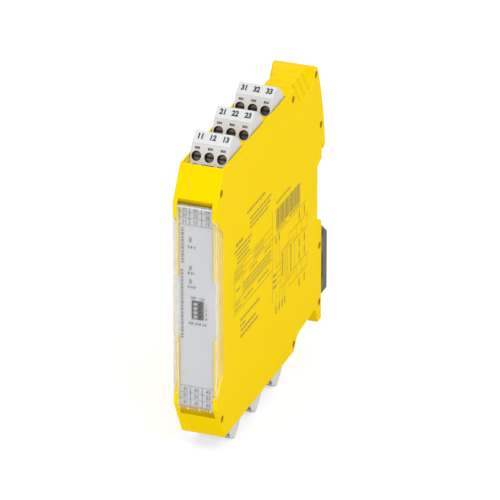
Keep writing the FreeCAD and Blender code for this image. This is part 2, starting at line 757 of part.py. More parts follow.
cover_half = front_inner - S.cover_play
plate_back = front + S.cover_sheet
cover_parts = [
    box("cover_plate", (-cover_half, cover_half), (front, plate_back),
        (S.cover_play - panel_top, hinge_z)),
    box("cover_wide", (-half_width, half_width), (front, plate_back),
        (wing_foot + S.cover_play, wing_head - S.cover_play)),
    rod("cover_knuckle", S.hinge_radius, cover_half * 2, "x", -cover_half, hinge_y, hinge_z),
    rod("cover_pins", S.hinge_pin, (cover_half + S.hinge_pin_length) * 2, "x",
        -cover_half - S.hinge_pin_length, hinge_y, hinge_z),
]
for side_name, side_sign in (("left", -1), ("right", 1)):
    wing_low, wing_high = span(wing_inner + S.cover_play, half_width, side_sign)
    cover_parts.append(prism(f"cover_wing_{side_name}", "yz", wing_outline(S.cover_play, 0),
                             wing_low, wing_high))
front_cover = fuse("cover_body", *cover_parts)
node(front_cover, "front_cover")


# Slide switch with four levers, shown in their off position

switch_y = panel_y - S.switch_proud
LEVER_COUNT = 4
lever_y = (switch_y - S.lever_proud, switch_y + S.lever_depth)
lever_low = S.switch_x - (S.lever_width + S.lever_travel) / 2
slot_tools = []
levers = []
for index in range(LEVER_COUNT):
    lever_z = S.lever_pitch * ((LEVER_COUNT - 1) / 2 - index) - S.switch_z
    levers.append(box(f"lever_{index + 1}", (lever_low, lever_low + S.lever_width), lever_y,
                      (lever_z - S.lever_height / 2, lever_z + S.lever_height / 2)))
    slot_tools.append(box(f"lever_slot_{index + 1}",
                          (lever_low - S.lever_play,
                           lever_low + S.lever_width + S.lever_travel + S.lever_play),
                          (switch_y - BEYOND, lever_y[1] + S.lever_play),
                          (lever_z - S.lever_height / 2 - S.lever_play,
                           lever_z + S.lever_height / 2 + S.lever_play)))
switch_block = box("switch_block", (S.switch_x - switch_half_x, S.switch_x + switch_half_x),
                   (switch_y, switch_y + S.switch_depth),
                   (-S.switch_z - switch_half_z, switch_half_z - S.switch_z))
node(cut("switch_body", switch_block, *slot_tools), "switch_body")
for index, lever in enumerate(levers, start=1):
    node(lever, f"switch_lever_{index}")


# Circuit board, parallel to the side walls, and the lights at its front edge

board_face = -S.board_x
board_front = front + S.board_front
board = box("board", (board_face - S.board_sheet, board_face), (board_front, -S.board_back),
            (-board_half, board_half))
node(board, "circuit_board")
light_centre = -S.light_x
for index, height in enumerate(LIGHTS, start=1):
    guide = box(f"guide_{index}",
                (light_centre - S.light_width / 2, light_centre + S.light_width / 2),
                (panel_y - S.light_proud, board_front - 0.2),
                (height - S.light_height / 2, height + S.light_height / 2))
    node(guide, f"light_guide_{index}")
lamps = [box(f"lamp_{index}", (board_face, board_face + S.lamp_size),
             (board_front, board_front + S.lamp_size),
             (height - S.lamp_size / 2, height + S.lamp_size / 2))
         for index, height in enumerate(LIGHTS)]
node(group("lamps", *lamps), "light_chips")


def relay(name, centre_z):
    """A sealed relay with rounded edges, standing on the board."""
    block = box(f"{name}_block", (board_face, inner - S.relay_gap),
                (front + S.relay_front, front + S.relay_front + S.relay_length),
                (centre_z - S.relay_height / 2, centre_z + S.relay_height / 2))
    return rounded(f"{name}_rounded", block, S.relay_edge, at_x(inner - S.relay_gap))


node(relay("relay_1", S.relay_first + S.relay_height / 2), "relay_1")
node(relay("relay_2", S.relay_height / 2 - S.relay_second), "relay_2")
capacitor = rod("capacitor_can", S.capacitor_radius, S.capacitor_length, "y",
                board_face + S.capacitor_radius, front + S.capacitor_front, S.capacitor_z)
node(capacitor, "capacitor")
core_block = box("core_block", (board_face, inner - S.core_gap),
                 (front + S.core_front, front + S.core_front + S.core_size),
                 (-S.core_z - S.core_size / 2, S.core_size / 2 - S.core_z))
core_cuts = [box(f"core_window_{index}", (board_face - 1, inner),
                 (front + S.core_front + S.core_size * low,
                  front + S.core_front + S.core_size * low + S.core_window),
                 (-S.core_z - S.core_size / 2 + 2.5, S.core_size / 2 - 2.5 - S.core_z))
             for index, low in enumerate((0.15, 0.62))]
node(cut("core_body", core_block, *core_cuts), "transformer_core")


# Terminal plug, drawn round its own screw row at the housing's top edge

def pole_x(index):
    """X of one terminal of a plug."""
    return pole_pitch * (index - (POLE_COUNT - 1) / 2)


def tilted_rod(name, radius, low, high, x):
    """A cylinder on the screw axis, between two heights along it."""
    item = doc.addObject("Part::Cylinder", name)
    item.Placement = Placement(Vector(), Rotation(Vector(1, 0, 0), 90 - S.screw_tilt.value))
    bind(item, "Placement.Rotation.Angle", 90 - S.screw_tilt)
    bind(item, "Radius", radius)
    bind(item, "Height", as_size(high) - low)
    return slide_along(item, x, low, S.screw_tilt, -1)


def slide_along(item, x, distance, tilt, way):
    """Places an object at a distance along a tilted axis, forward or back."""
    distance = as_size(distance)
    bind(item, "Placement.Base.x", x)
    item.setExpression("Placement.Base.y", f"{way} * {distance.text} * cos({tilt.text} * 1 deg)")
    item.setExpression("Placement.Base.z", f"{distance.text} * sin({tilt.text} * 1 deg)")
    return item


def tilted_box(name, width, height, low, high, x, tilt_angle, lift=0):
    """A box on a tilted axis that looks forward and up, raised across that axis."""
    item = box(name, (x - as_size(width) / 2, x + as_size(width) / 2), (0, height), (0, as_size(high) - low))
    item.Placement = Placement(Vector(), Rotation(Vector(1, 0, 0), 90 - tilt_angle.value))
    bind(item, "Placement.Rotation.Angle", 90 - tilt_angle)
    away, up = as_size(low), as_size(lift) - as_size(height) / 2
    cosine, sine = f"cos({tilt_angle.text} * 1 deg)", f"sin({tilt_angle.text} * 1 deg)"
    item.setExpression("Placement.Base.y", f"{up.text} * {sine} - {away.text} * {cosine}")
    item.setExpression("Placement.Base.z", f"{up.text} * {cosine} + {away.text} * {sine}")
    return item


def entry_box(name, width, height, depth, length, x):
    """A box along the axis of a wire entry, from a depth below its mouth outwards."""
    width, height, depth = as_size(width), as_size(height), as_size(depth)
    item = box(name, (x - width / 2, x + width / 2), (0, height), (0, length))
    item.Placement = Placement(Vector(), Rotation(Vector(1, 0, 0), S.entry_tilt.value - 90))
    bind(item, "Placement.Rotation.Angle", S.entry_tilt - 90)
    cosine, sine = f"cos({S.entry_tilt.text} * 1 deg)", f"sin({S.entry_tilt.text} * 1 deg)"
    item.setExpression("Placement.Base.y", f"{S.entry_y.text} - {height.text} / 2 * {sine}"
                                           f" - {depth.text} * {cosine}")
    item.setExpression("Placement.Base.z", f"{S.entry_z.text} + {height.text} / 2 * {cosine}"
                                           f" - {depth.text} * {sine}")
    return item


def clamp_form(pole):
    """A wire clamp: a short square sleeve at the inner end of a wire entry."""
    x = pole_x(pole)
    width = entry_width - S.clamp_play * 2
    height = S.entry_height - S.clamp_play * 2
    depth = S.entry_depth - S.clamp_play
    sleeve = entry_box(f"clamp_sleeve_{pole}", width, height, depth, S.clamp_length, x)
    bore = entry_box(f"clamp_bore_{pole}", width - S.clamp_sheet * 2, height - S.clamp_sheet * 2,
                     depth + 1, S.clamp_length + 2, x)
    return cut(f"clamp_{pole}", sleeve, bore)


plug_side = prism("plug_side", "yz", [
    (-S.plug_face_foot_y, -S.plug_sink),
    (S.plug_foot_y, -S.plug_sink),
    (S.plug_foot_y, -S.plug_heel_z - 2.5),
    (S.plug_heel_y, -S.plug_heel_z - 1.0),
    (S.plug_heel_y, -S.plug_heel_z, S.plug_back_radius),
    (S.plug_ridge_y, S.plug_rise),
    (S.plug_face_top_y, S.plug_face_top_z),
    (-S.plug_face_foot_y, -S.plug_face_foot_z),
], -plug_half, plug_half)
plug_block = rounded("plug_block", plug_side, S.plug_round,
                     lambda edge: edge.CenterOfMass.z > 0.5 - S.plug_heel_z.value)
plug_tools = []
for pole in range(POLE_COUNT):
    x = pole_x(pole)
    seat = S.screw_sink + S.screw_head
    plug_tools += [
        tilted_rod(f"plug_screw_hole_{pole}", S.screw_radius + S.screw_play, -seat, 3, x),
        tilted_rod(f"plug_thread_hole_{pole}", S.screw_shank + 0.05, -seat - S.screw_length - 0.3,
                   -seat + 0.5, x),
        tilted_box(f"plug_test_slot_{pole}", S.test_slot_width, S.test_slot_height,
                   -S.test_slot_depth, 2, x, S.screw_tilt, S.test_slot_offset),
        box(f"plug_socket_{pole}", (x - S.socket_size / 2, x + S.socket_size / 2),
            (S.socket_y - S.socket_size / 2, S.socket_y + S.socket_size / 2),
            (-S.plug_sink - 1, S.socket_depth - S.plug_sink)),
    ]
    plug_tools.append(entry_box(f"plug_entry_{pole}", entry_width, S.entry_height,
                                S.entry_depth, S.entry_depth + 4, x))
plug_form = cut("plug_form", plug_block, *plug_tools)


def screw_form(pole):
    """A slotted terminal screw: head, thread and drive slot on the tilted axis."""
    x = pole_x(pole)
    under_head = -S.screw_sink - S.screw_head
    head = tilted_rod(f"screw_head_{pole}", S.screw_radius, under_head, -S.screw_sink, x)
    shank = tilted_rod(f"screw_shank_{pole}", S.screw_shank, under_head - S.screw_length,
                       under_head + 0.2, x)
    slot = tilted_box(f"screw_slot_{pole}", S.screw_radius * 3, S.screw_slot,
                      -S.screw_sink - S.screw_slot_depth, 0.5, x, S.screw_tilt)
    return cut(f"screw_{pole}", fuse(f"screw_blank_{pole}", head, shank), slot)


screws_form = group("screws_form", *[screw_form(pole) for pole in range(POLE_COUNT)])
clamps_form = group("clamps_form", *[clamp_form(pole) for pole in range(POLE_COUNT)])


def header_form():
    """A header strip drawn under a plug, with a hole for each of its pins."""
    strip = box("header_strip", (-bay_half + 0.2, bay_half - 0.2),
                (S.socket_y - S.header_depth / 2, S.socket_y + S.header_depth / 2),
                (cavity_top - top - S.header_height, cavity_top - top))
    holes = [box(f"header_hole_{pole}", (pole_x(pole) - S.pin_size / 2, pole_x(pole) + S.pin_size / 2),
                 (S.socket_y - S.pin_size / 2, S.socket_y + S.pin_size / 2),
                 (cavity_top - top - S.header_height - 1, cavity_top - top + 1))
             for pole in range(POLE_COUNT)]
    return cut("header_form", strip, *holes)


def pins_form():
    """The pins of one header."""
    foot = cavity_top - top - S.header_height
    return group("pins_form", *[
        box(f"pin_{pole}", (pole_x(pole) - S.pin_size / 2, pole_x(pole) + S.pin_size / 2),
            (S.socket_y - S.pin_size / 2, S.socket_y + S.pin_size / 2),
            (foot, S.pin_overlap - S.plug_sink)) for pole in range(POLE_COUNT)])


def copy_to_bay(form, label, index, sign):
    """One copy of a form in its bay: upright on the top, turned over on the bottom."""
    item = doc.addObject("Part::Compound", label)
    item.Links = [form]
    turn = Rotation() if sign > 0 else Rotation(Vector(0, 1, 0), 180)
    item.Placement = Placement(Vector(), turn)
    place(item, 0, plug_y(index), top * sign)
    return node(item, label)


FORMS = [(plug_form, "plug"), (screws_form, "plug_screws"), (clamps_form, "plug_clamps"),
         (header_form(), "header"), (pins_form(), "header_pins")]
for side_name, side_sign in (("top", 1), ("bottom", -1)):
    for index in range(PLUG_COUNT):
        for form, form_name in FORMS:
            copy_to_bay(form, f"{form_name}_{side_name}_{index + 1}", index, side_sign)


# Rail catch: a sliding block behind the seat, guided by a stem with a head inside the housing

catch_front = S.rail_sheet + S.rail_play
catch_back = catch_front + S.catch_depth
catch_top = S.catch_overlap - S.rail_height / 2
catch_bottom = catch_top - S.catch_height
catch_side = prism("catch_side", "yz", [
    (catch_front, catch_bottom),
    (catch_back, catch_bottom),
    (catch_back, catch_top - S.catch_slope),
    (catch_front + S.catch_ledge, catch_top),
    (catch_front, catch_top),
], S.catch_inset - half_width, half_width - S.catch_inset)
catch_block = rounded("catch_block", catch_side, S.catch_round,
                      lambda edge: edge.CenterOfMass.y > catch_front.value + 0.1)
stem_bottom = S.stem_top + S.stem_height
head_back = -S.skin - S.stem_play
catch_stem = box("catch_stem", (-S.stem_width / 2, S.stem_width / 2),
                 (head_back - 0.1, catch_front + 0.1), (-stem_bottom, -S.stem_top))
catch_head = box("catch_head", (-S.stem_head / 2, S.stem_head / 2),
                 (head_back - S.head_sheet, head_back), (-stem_bottom, -S.stem_top))
catch_eye = box("catch_eye", (-S.eye_width / 2, S.eye_width / 2),
                (catch_front + 1.5, catch_back + BEYOND),
                (catch_bottom + S.eye_foot, catch_bottom + S.eye_foot + S.eye_height))
node(cut("catch_body", fuse("catch_solid", catch_block, catch_stem, catch_head), catch_eye),
     "rail_catch")


# Check every object, then write one file for each piece

doc.recompute()
faulty = [item.Name for item in doc.Objects if {"Invalid", "Error"} & set(item.State)]
if faulty:
    raise RuntimeError(f"objects that failed: {', '.join(faulty)}")
for item in NODES:
    if item.Shape.isNull() or not item.Shape.isValid() or not item.Shape.Solids:
        raise RuntimeError(f"{item.Label} has no valid solid")
os.makedirs("parts", exist_ok=True)
for item in NODES:
    item.Shape.exportStep(os.path.join("parts", f"{item.Label}.step"))
    print(f"{item.Label}: {len(item.Shape.Solids)} solid(s), {item.Shape.Volume:.1f} mm3")
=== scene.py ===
"""Looks of a slim interface relay module that clips onto a 35 mm top-hat rail.

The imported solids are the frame: they keep their place and shape and get their
finishes here. Pieces that the solids leave out, such as the printing, the
terminal numbers, the label plates and the rounded clear cover, are worked out
as arrays and put round them. Sizes in the classes are in millimetres, in the
frame's own axes: X across the width, Y from front to back, Z up.
"""

from __future__ import annotations

import json
import logging
import math
from abc import ABC, abstractmethod
from collections.abc import Callable
from dataclasses import dataclass
from enum import Enum
from typing import Any

import bmesh
import bpy
import numpy as np
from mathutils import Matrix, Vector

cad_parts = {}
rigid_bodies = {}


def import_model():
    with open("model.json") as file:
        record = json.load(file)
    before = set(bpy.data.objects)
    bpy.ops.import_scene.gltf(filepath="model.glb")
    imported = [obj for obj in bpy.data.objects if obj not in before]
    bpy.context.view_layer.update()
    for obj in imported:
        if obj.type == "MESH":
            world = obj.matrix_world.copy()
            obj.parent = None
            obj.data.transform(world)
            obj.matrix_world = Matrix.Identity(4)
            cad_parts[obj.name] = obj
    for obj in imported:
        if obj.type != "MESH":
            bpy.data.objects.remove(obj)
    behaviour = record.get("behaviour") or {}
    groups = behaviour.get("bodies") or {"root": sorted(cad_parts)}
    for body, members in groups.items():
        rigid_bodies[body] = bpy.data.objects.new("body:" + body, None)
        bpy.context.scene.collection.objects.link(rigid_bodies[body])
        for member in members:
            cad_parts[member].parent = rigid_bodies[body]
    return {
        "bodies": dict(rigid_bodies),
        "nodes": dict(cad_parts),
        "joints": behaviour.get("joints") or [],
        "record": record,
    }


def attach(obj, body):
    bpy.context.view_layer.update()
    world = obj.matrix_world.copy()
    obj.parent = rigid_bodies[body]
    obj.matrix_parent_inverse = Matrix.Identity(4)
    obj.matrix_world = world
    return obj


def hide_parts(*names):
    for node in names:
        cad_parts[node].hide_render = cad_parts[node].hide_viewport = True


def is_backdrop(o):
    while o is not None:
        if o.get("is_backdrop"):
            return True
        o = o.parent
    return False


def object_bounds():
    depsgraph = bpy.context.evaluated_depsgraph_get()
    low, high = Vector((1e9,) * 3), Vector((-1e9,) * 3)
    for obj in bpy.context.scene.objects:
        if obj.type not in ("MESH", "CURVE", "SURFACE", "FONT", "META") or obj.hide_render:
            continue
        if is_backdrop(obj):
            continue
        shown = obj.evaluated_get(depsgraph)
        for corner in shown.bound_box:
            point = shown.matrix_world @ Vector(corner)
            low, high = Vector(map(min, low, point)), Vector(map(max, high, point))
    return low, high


LOG = logging.getLogger("relay_module")
MM = 0.001
WHITE = (1.0, 1.0, 1.0, 1.0)
Colour = tuple[int, int, int]
Point = tuple[float, float, float]
# Two ends, or a place on a sheet.
Pair = tuple[float, float]
# Left, bottom, right and top.
Area = tuple[float, float, float, float]
# The two places that a line joins.
Line = Area
# Start, end, middle line and height of a row of dashes.
Row = Area
# Places across, and then spans of levels, of upright lines.
Uprights = tuple[tuple[float, ...], ...]
# Printing starts this far under its surface and stands out this far, in millimetres.
INK_DEPTH = (-0.01, 0.03)
# Shallow dark lines of painted shade do the same with these two.
LINE_DEPTH = (-0.05, 0.02)
# Edges under this angle, in degrees, are shaded smooth on round pieces.
ROUND = 40.0


class Side(Enum):
    """The two edges of the housing that carry plugs."""

    TOP = 1
    BOTTOM = -1


class Slot(Enum):
    """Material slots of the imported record."""

    HOUSING = "housing"
    PLUG = "plug"
    SCREW = "screw"
    CLAMP = "clamp"
    PIN = "pin"
    HEADER = "header"
    PANEL = "panel"
    COVER = "cover"
    SWITCH = "switch"
    LEVER = "lever"
    BOARD = "board"
    GUIDE = "guide"
    CHIP = "chip"
    RELAY = "relay"
    CAPACITOR = "capacitor"
    CORE = "core"
    CATCH = "catch"


# Shader maths


def operator(operation: str, swapped: bool = False) -> Callable[[Wire, Wire | float], Wire]:
    """A method of a wire that adds one Math node.

    Args:
        operation: the node's operation.
        swapped: True if the other operand comes first.

    Returns:
        The method, which gives the node's result.
    """

    def method(self: Wire, other: Wire | float) -> Wire:
        """Adds the node."""
        pair = (other, self) if swapped else (self, other)
        return self.graph.node("Math", {"operation": operation}, dict(enumerate(pair)))

    return method


class Wire:
    """An output socket that takes part in arithmetic."""

    __add__ = operator("ADD")
    __radd__ = operator("ADD", swapped=True)
    __sub__ = operator("SUBTRACT")
    __rsub__ = operator("SUBTRACT", swapped=True)
    __mul__ = operator("MULTIPLY")
    __truediv__ = operator("DIVIDE")
    at_most = operator("MINIMUM")
    at_least = operator("MAXIMUM")

    def __init__(self, graph: Graph, socket: bpy.types.NodeSocket | None) -> None:
        """Keeps the graph and the socket, if there is one."""
        self.graph = graph
        self.socket = socket

    def __abs__(self) -> Wire:
        """The value without its sign."""
        return self.graph.node("Math", {"operation": "ABSOLUTE"}, {0: self})


class Graph:
    """The nodes of one material or of the world."""

    def __init__(self, tree: bpy.types.NodeTree) -> None:
        """Takes a node tree and empties it."""
        self.tree = tree
        tree.nodes.clear()

    def node(self, kind: str, settings: dict[str, Any] | None = None,
             sockets: dict[str | int, Any] | None = None, output: str | int = 0) -> Wire:
        """Adds one node.

        Args:
            kind: the node's type, without the ShaderNode that starts it.
            settings: its properties, which are set first.
            sockets: values or links of its inputs, by name or number.
            output: the output that is returned.

        Returns:
            The chosen output as a wire.
        """
        made = self.tree.nodes.new("ShaderNode" + kind)
        for name, value in (settings or {}).items():
            setattr(made, name, value)
        for name, value in (sockets or {}).items():
            if isinstance(value, Wire):
                self.tree.links.new(value.socket, made.inputs[name])
            else:
                made.inputs[name].default_value = value
        return Wire(self, made.outputs[output] if len(made.outputs) else None)

    def place(self) -> Wire:
        """The point on the object, in its own axes."""
        return self.node("TexCoord", output="Object")

    def noise(self, size: float, detail: float = 2.0, rough: float = 0.5) -> Wire:
        """Soft noise whose patches are about size millimetres across."""
        return self.node("TexNoise", sockets={
            "Vector": self.place(), "Scale": 1 / (size * MM), "Detail": detail,
            "Roughness": rough})

    def mixed(self, factor: Wire | float, first: Any, second: Any) -> Wire:
        """A colour between two colours."""
        return self.node("Mix", {"data_type": "RGBA"},
                         {0: factor, 6: first, 7: second}, output=2)

    def rounded(self, radius: float, samples: int) -> Wire:
        """The normal with its edges rounded to a radius in millimetres."""
        return self.node("Bevel", {"samples": samples}, {"Radius": radius * MM})

    def bump(self, height: Wire, depth: float, strength: float, normal: Wire) -> Wire:
        """A normal with a relief of a depth in millimetres."""
        return self.node("Bump", sockets={
            "Height": height, "Distance": depth * MM, "Strength": strength, "Normal": normal})

    def principled(self, sockets: dict[str, Any]) -> Wire:
        """A general surface."""
        return self.node("BsdfPrincipled", sockets=sockets)

    def blended(self, factor: Wire | float, first: Wire, second: Wire) -> Wire:
        """A surface between two surfaces."""
        return self.node("MixShader", sockets={0: factor, 1: first, 2: second})

    def seen(self) -> Wire:
        """1 for what the camera, a reflection or clear plastic shows, and 0 for lighting."""
        camera, glossy, through = [
            self.node("LightPath", output=name)
            for name in ("Is Camera Ray", "Is Glossy Ray", "Is Transmission Ray")]
        return camera.at_least(glossy).at_least(through)

    def finish(self, surface: Wire) -> None:
        """Joins a shader to the output."""
        kind = "OutputMaterial"
        if isinstance(self.tree.id_data, bpy.types.World):
            kind = "OutputWorld"
        self.node(kind, sockets={"Surface": surface})


def linear(colour: Colour) -> tuple[float, ...]:
    """A colour written in steps of 255 as a linear one with full alpha.

    Each part above 0.04045 is ((part + 0.055) / 1.055) to the power 2.4.
    """
    part = np.array(colour) / 255
    curve = np.where(part > 0.04045, ((part + 0.055) / 1.055) ** 2.4, part / 12.92)
    return (*curve.tolist(), 1.0)


def dimmed(colour: tuple[float, ...], share: float) -> tuple[float, ...]:
    """A linear colour with each part times a share, and full alpha."""
    return (*(part * share for part in colour[:3]), 1.0)


# Finishes. Sizes are in millimetres, and colours in steps of 255.


@dataclass(frozen=True)
class Finish(ABC):
    """A look with a name."""

    name: str

    def material(self) -> bpy.types.Material:
        """The look as a new material."""
        made = bpy.data.materials.new(self.name)
        made.use_nodes = True
        graph = Graph(made.node_tree)
        graph.finish(self.surface(graph))
        return made

    @abstractmethod
    def surface(self, graph: Graph) -> Wire:
        """The look's shader, in an empty graph."""


@dataclass(frozen=True)
class Moulding(Finish):
    """A moulded plastic with a fine spark-eroded texture and softened edges.

    Its colour drifts a little over the moulding. Where a rim colour is given,
    it turns to it at its edges as a painted highlight, where the rounded normal
    leaves the flat one. Its gloss follows the texture.
    """

    colour: Colour
    roughness: float = 0.42
    mottle: float = 0.03
    drift: float = 24.0
    grain: float = 0.35
    relief: float = 0.006
    bump: float = 0.6
    edge: float = 0.2
    shine: float = 0.5
    gloss_grain: float = 0.12
    gloss_drift: float = 0.06
    # Colour of the painted edge highlight, if any.
    rim: Colour | None = None
    edge_highlight_gain: float = 4.0

    def surface(self, graph: Graph) -> Wire:
        """The look's shader."""
        flow = graph.noise(self.drift, 1.0)
        grain = graph.noise(self.grain, 3.0, 0.6)
        rounded = graph.rounded(self.edge, 6)
        shade = linear(self.colour)
        colour = graph.mixed(flow, shade, dimmed(shade, 1 - 2 * self.mottle))
        # Painted highlight: the colour turns to the rim's where the rounded normal leaves the flat
        # one.
        if self.rim:
            flat = graph.node("NewGeometry", output="Normal")
            match = graph.node("VectorMath", {"operation": "DOT_PRODUCT"},
                               {0: rounded, 1: flat}, output="Value")
            share = ((1 - match) * self.edge_highlight_gain).at_most(1.0)
            colour = graph.mixed(share, colour, linear(self.rim))
        gloss = self.roughness + (grain - 0.5) * self.gloss_grain
        return graph.principled({
            "Base Color": colour,
            "Roughness": gloss + (flow - 0.5) * self.gloss_drift,
            "Normal": graph.bump(grain, self.relief, self.bump, rounded),
            "Specular IOR Level": self.shine,
        })


@dataclass(frozen=True)
class Metal(Finish):
    """A plated metal with fine marks in its gloss and faint dark patches."""

    colour: Colour
    roughness: float = 0.3
    scratch: float = 0.25
    relief: float = 0.01
    bump: float = 0.7
    patch: float = 1.6
    dull: float = 0.62
    edge: float = 0.1
    gloss: float = 0.3

    def surface(self, graph: Graph) -> Wire:
        """The look's shader."""
        marks = graph.noise(self.scratch, 4.0, 0.7)
        shade = linear(self.colour)
        colour = graph.mixed(graph.noise(self.patch), shade, dimmed(shade, self.dull))
        return graph.principled({
            "Base Color": colour,
            "Metallic": 1.0,
            "Roughness": self.roughness + (marks - 0.5) * self.gloss,
            "Normal": graph.bump(marks, self.relief, self.bump, graph.rounded(self.edge, 4)),
        })


@dataclass(frozen=True)
class ClearPlastic(Finish):
    """Clear polycarbonate that lets the lamps through to what it covers.

    It is part glass-like plastic with faint flow marks, and part plain tinted
    see-through with a little haze. It is only tinted to shadow rays.
    """

    colour: Colour = (246, 247, 248)
    roughness: float = 0.006
    drift: float = 6.0
    gloss: float = 0.01
    bend: float = 1.22
    solid: float = 0.42
    haze: float = 0.09

    def surface(self, graph: Graph) -> Wire:
        """The look's shader."""
        tint = linear(self.colour)
        body = graph.principled({
            "Base Color": tint,
            "Roughness": self.roughness + graph.noise(self.drift, 1.0) * self.gloss,
            "IOR": self.bend,
            "Transmission Weight": 1.0,
        })
        through = graph.node("BsdfTransparent", sockets={"Color": tint})
        haze = graph.node("BsdfDiffuse", sockets={"Color": WHITE})
        seen = graph.blended(self.solid, graph.blended(self.haze, through, haze), body)
        shadow = graph.node("LightPath", output="Is Shadow Ray")
        return graph.blended(shadow, seen, through)


@dataclass(frozen=True)
class ClearEdgeGlint(Finish):
    """A painted highlight for the edges of clear plastic, where they gather light: an uneven half
    clear white.
    """

    colour: Colour = (250, 250, 244)
    cover: float = 0.6
    uneven: float = 0.5
    drift: float = 2.5
    roughness: float = 0.15
    gloss: float = 0.2

    def surface(self, graph: Graph) -> Wire:
        """The look's shader."""
        flow = graph.noise(self.drift)
        return graph.principled({
            "Base Color": linear(self.colour),
            "Roughness": self.roughness + flow * self.gloss,
            "Alpha": self.cover + (flow - 0.5) * self.uneven,
        })


@dataclass(frozen=True)
class RecessShade(Finish):
    """Painted shade on the housing's plastic in the recess beside the cover, between two colours.

    The share of the second colour grows evenly with the distance above or
    below the start, which is a height above or below the centre.
    """

    shade_at_start: Colour
    shade_further: Colour
    start: float
    reach: float
    roughness: float = 0.5
    grain: float = 0.4
    gloss: float = 0.1
    shine: float = 0.03

    def surface(self, graph: Graph) -> Wire:
        """The look's shader."""
        level = graph.node("SeparateXYZ", sockets={0: graph.place()}, output="Z")
        share = (abs(level) - self.start * MM) / (self.reach * MM)
        share = share.at_least(0.0).at_most(1.0)
        return graph.principled({
            "Base Color": graph.mixed(share, linear(self.shade_at_start), linear(self.shade_further)),
            "Roughness": self.roughness + (graph.noise(self.grain, 3.0) - 0.5) * self.gloss,
            "Specular IOR Level": self.shine,
        })


@dataclass(frozen=True)
class Ink(Finish):
    """A matt ink that lets a little of what it lies on through in places."""

    colour: Colour
    paper: Colour
    wear: float = 0.2
    cover: float = 0.35
    grain: float = 0.5
    roughness: float = 0.55
    gloss: float = 0.2

    def surface(self, graph: Graph) -> Wire:
        """The look's shader."""
        thin = (graph.noise(self.grain, 3.0) - self.cover).at_least(0.0) * (self.wear * 2)
        return graph.principled({
            "Base Color": graph.mixed(thin, linear(self.colour), linear(self.paper)),
            "Roughness": self.roughness + thin * self.gloss,
        })


@dataclass(frozen=True)
class Paper(Finish):
    """The floor's paper, which glows plain white to what is seen.

    The glow's share grows evenly to all of it, and its strength falls to 1,
    from near to away, in metres from the frame's origin. So shadows show near
    the object, and no edge shows further off.
    """

    light: tuple[float, ...] = (0.85, 0.86, 0.93, 1.0)
    dark: tuple[float, ...] = (0.83, 0.84, 0.91, 1.0)
    grain: float = 1.5
    near: float = 0.25
    away: float = 0.8
    strength: float = 1.44
    share: float = 0.42

    def surface(self, graph: Graph) -> Wire:
        """The look's shader."""
        colour = graph.mixed(graph.noise(self.grain, 3.0), self.light, self.dark)
        paper = graph.node("BsdfDiffuse", sockets={"Color": colour})
        span = graph.node("VectorMath", {"operation": "LENGTH"}, {0: graph.place()},
                          output="Value")
        far = ((span - self.near) / (self.away - self.near)).at_least(0.0).at_most(1.0)
        strength = self.strength - far * (self.strength - 1)
        glow = graph.node("Emission", sockets={"Color": WHITE, "Strength": strength})
        share = graph.seen() * (self.share + far * (1 - self.share))
        return graph.blended(share, paper, glow)


YELLOW = (249, 213, 0)
PANEL_GREY = (203, 202, 201)
PLUG_WHITE = (210, 209, 208)

FINISHES = {
    # The rim colours below are painted highlights along the edges.
    Slot.HOUSING: Moulding("signal_yellow", YELLOW, roughness=0.45, mottle=0.01, edge=0.4,
                           shine=0.008, rim=(255, 246, 84)),
    Slot.PLUG: Moulding("light_grey_plug", PLUG_WHITE, roughness=0.45, mottle=0.01, edge=0.25,
                        rim=(240, 240, 240)),
    Slot.SCREW: Metal("plated_screw", (82, 75, 64), roughness=0.3),
    Slot.CLAMP: Metal("plated_clamp", (150, 146, 138), roughness=0.4),
    Slot.PIN: Metal("tinned_pin", (205, 203, 198), roughness=0.25),
    Slot.HEADER: Moulding("black_header", (38, 38, 40), roughness=0.5, edge=0.1),
    Slot.PANEL: Moulding("satin_panel", PANEL_GREY, roughness=0.5, mottle=0.008, edge=0.1),
    Slot.COVER: ClearPlastic("clear_cover"),
    Slot.SWITCH: Moulding("dark_switch", (66, 62, 61), roughness=0.5, edge=0.12),
    Slot.LEVER: Moulding("grey_lever", (188, 186, 182), roughness=0.4, edge=0.15),
    Slot.BOARD: Moulding("board_lacquer", (28, 92, 52), roughness=0.3, grain=1.2, edge=0.05),
    Slot.GUIDE: Moulding("milky_guide", (150, 152, 155), roughness=0.25, edge=0.08),
    Slot.CHIP: Moulding("light_chip", (238, 226, 170), roughness=0.25, edge=0.05),
    Slot.RELAY: Moulding("relay_case", (240, 236, 226), roughness=0.4),
    Slot.CAPACITOR: Metal("capacitor_can", (196, 198, 202), roughness=0.28),
    Slot.CORE: Moulding("ferrite_core", (52, 50, 50), roughness=0.6, grain=0.2, relief=0.02),
    Slot.CATCH: Moulding("dark_catch", (88, 83, 71), roughness=0.48, mottle=0.04, shine=0.2),
}


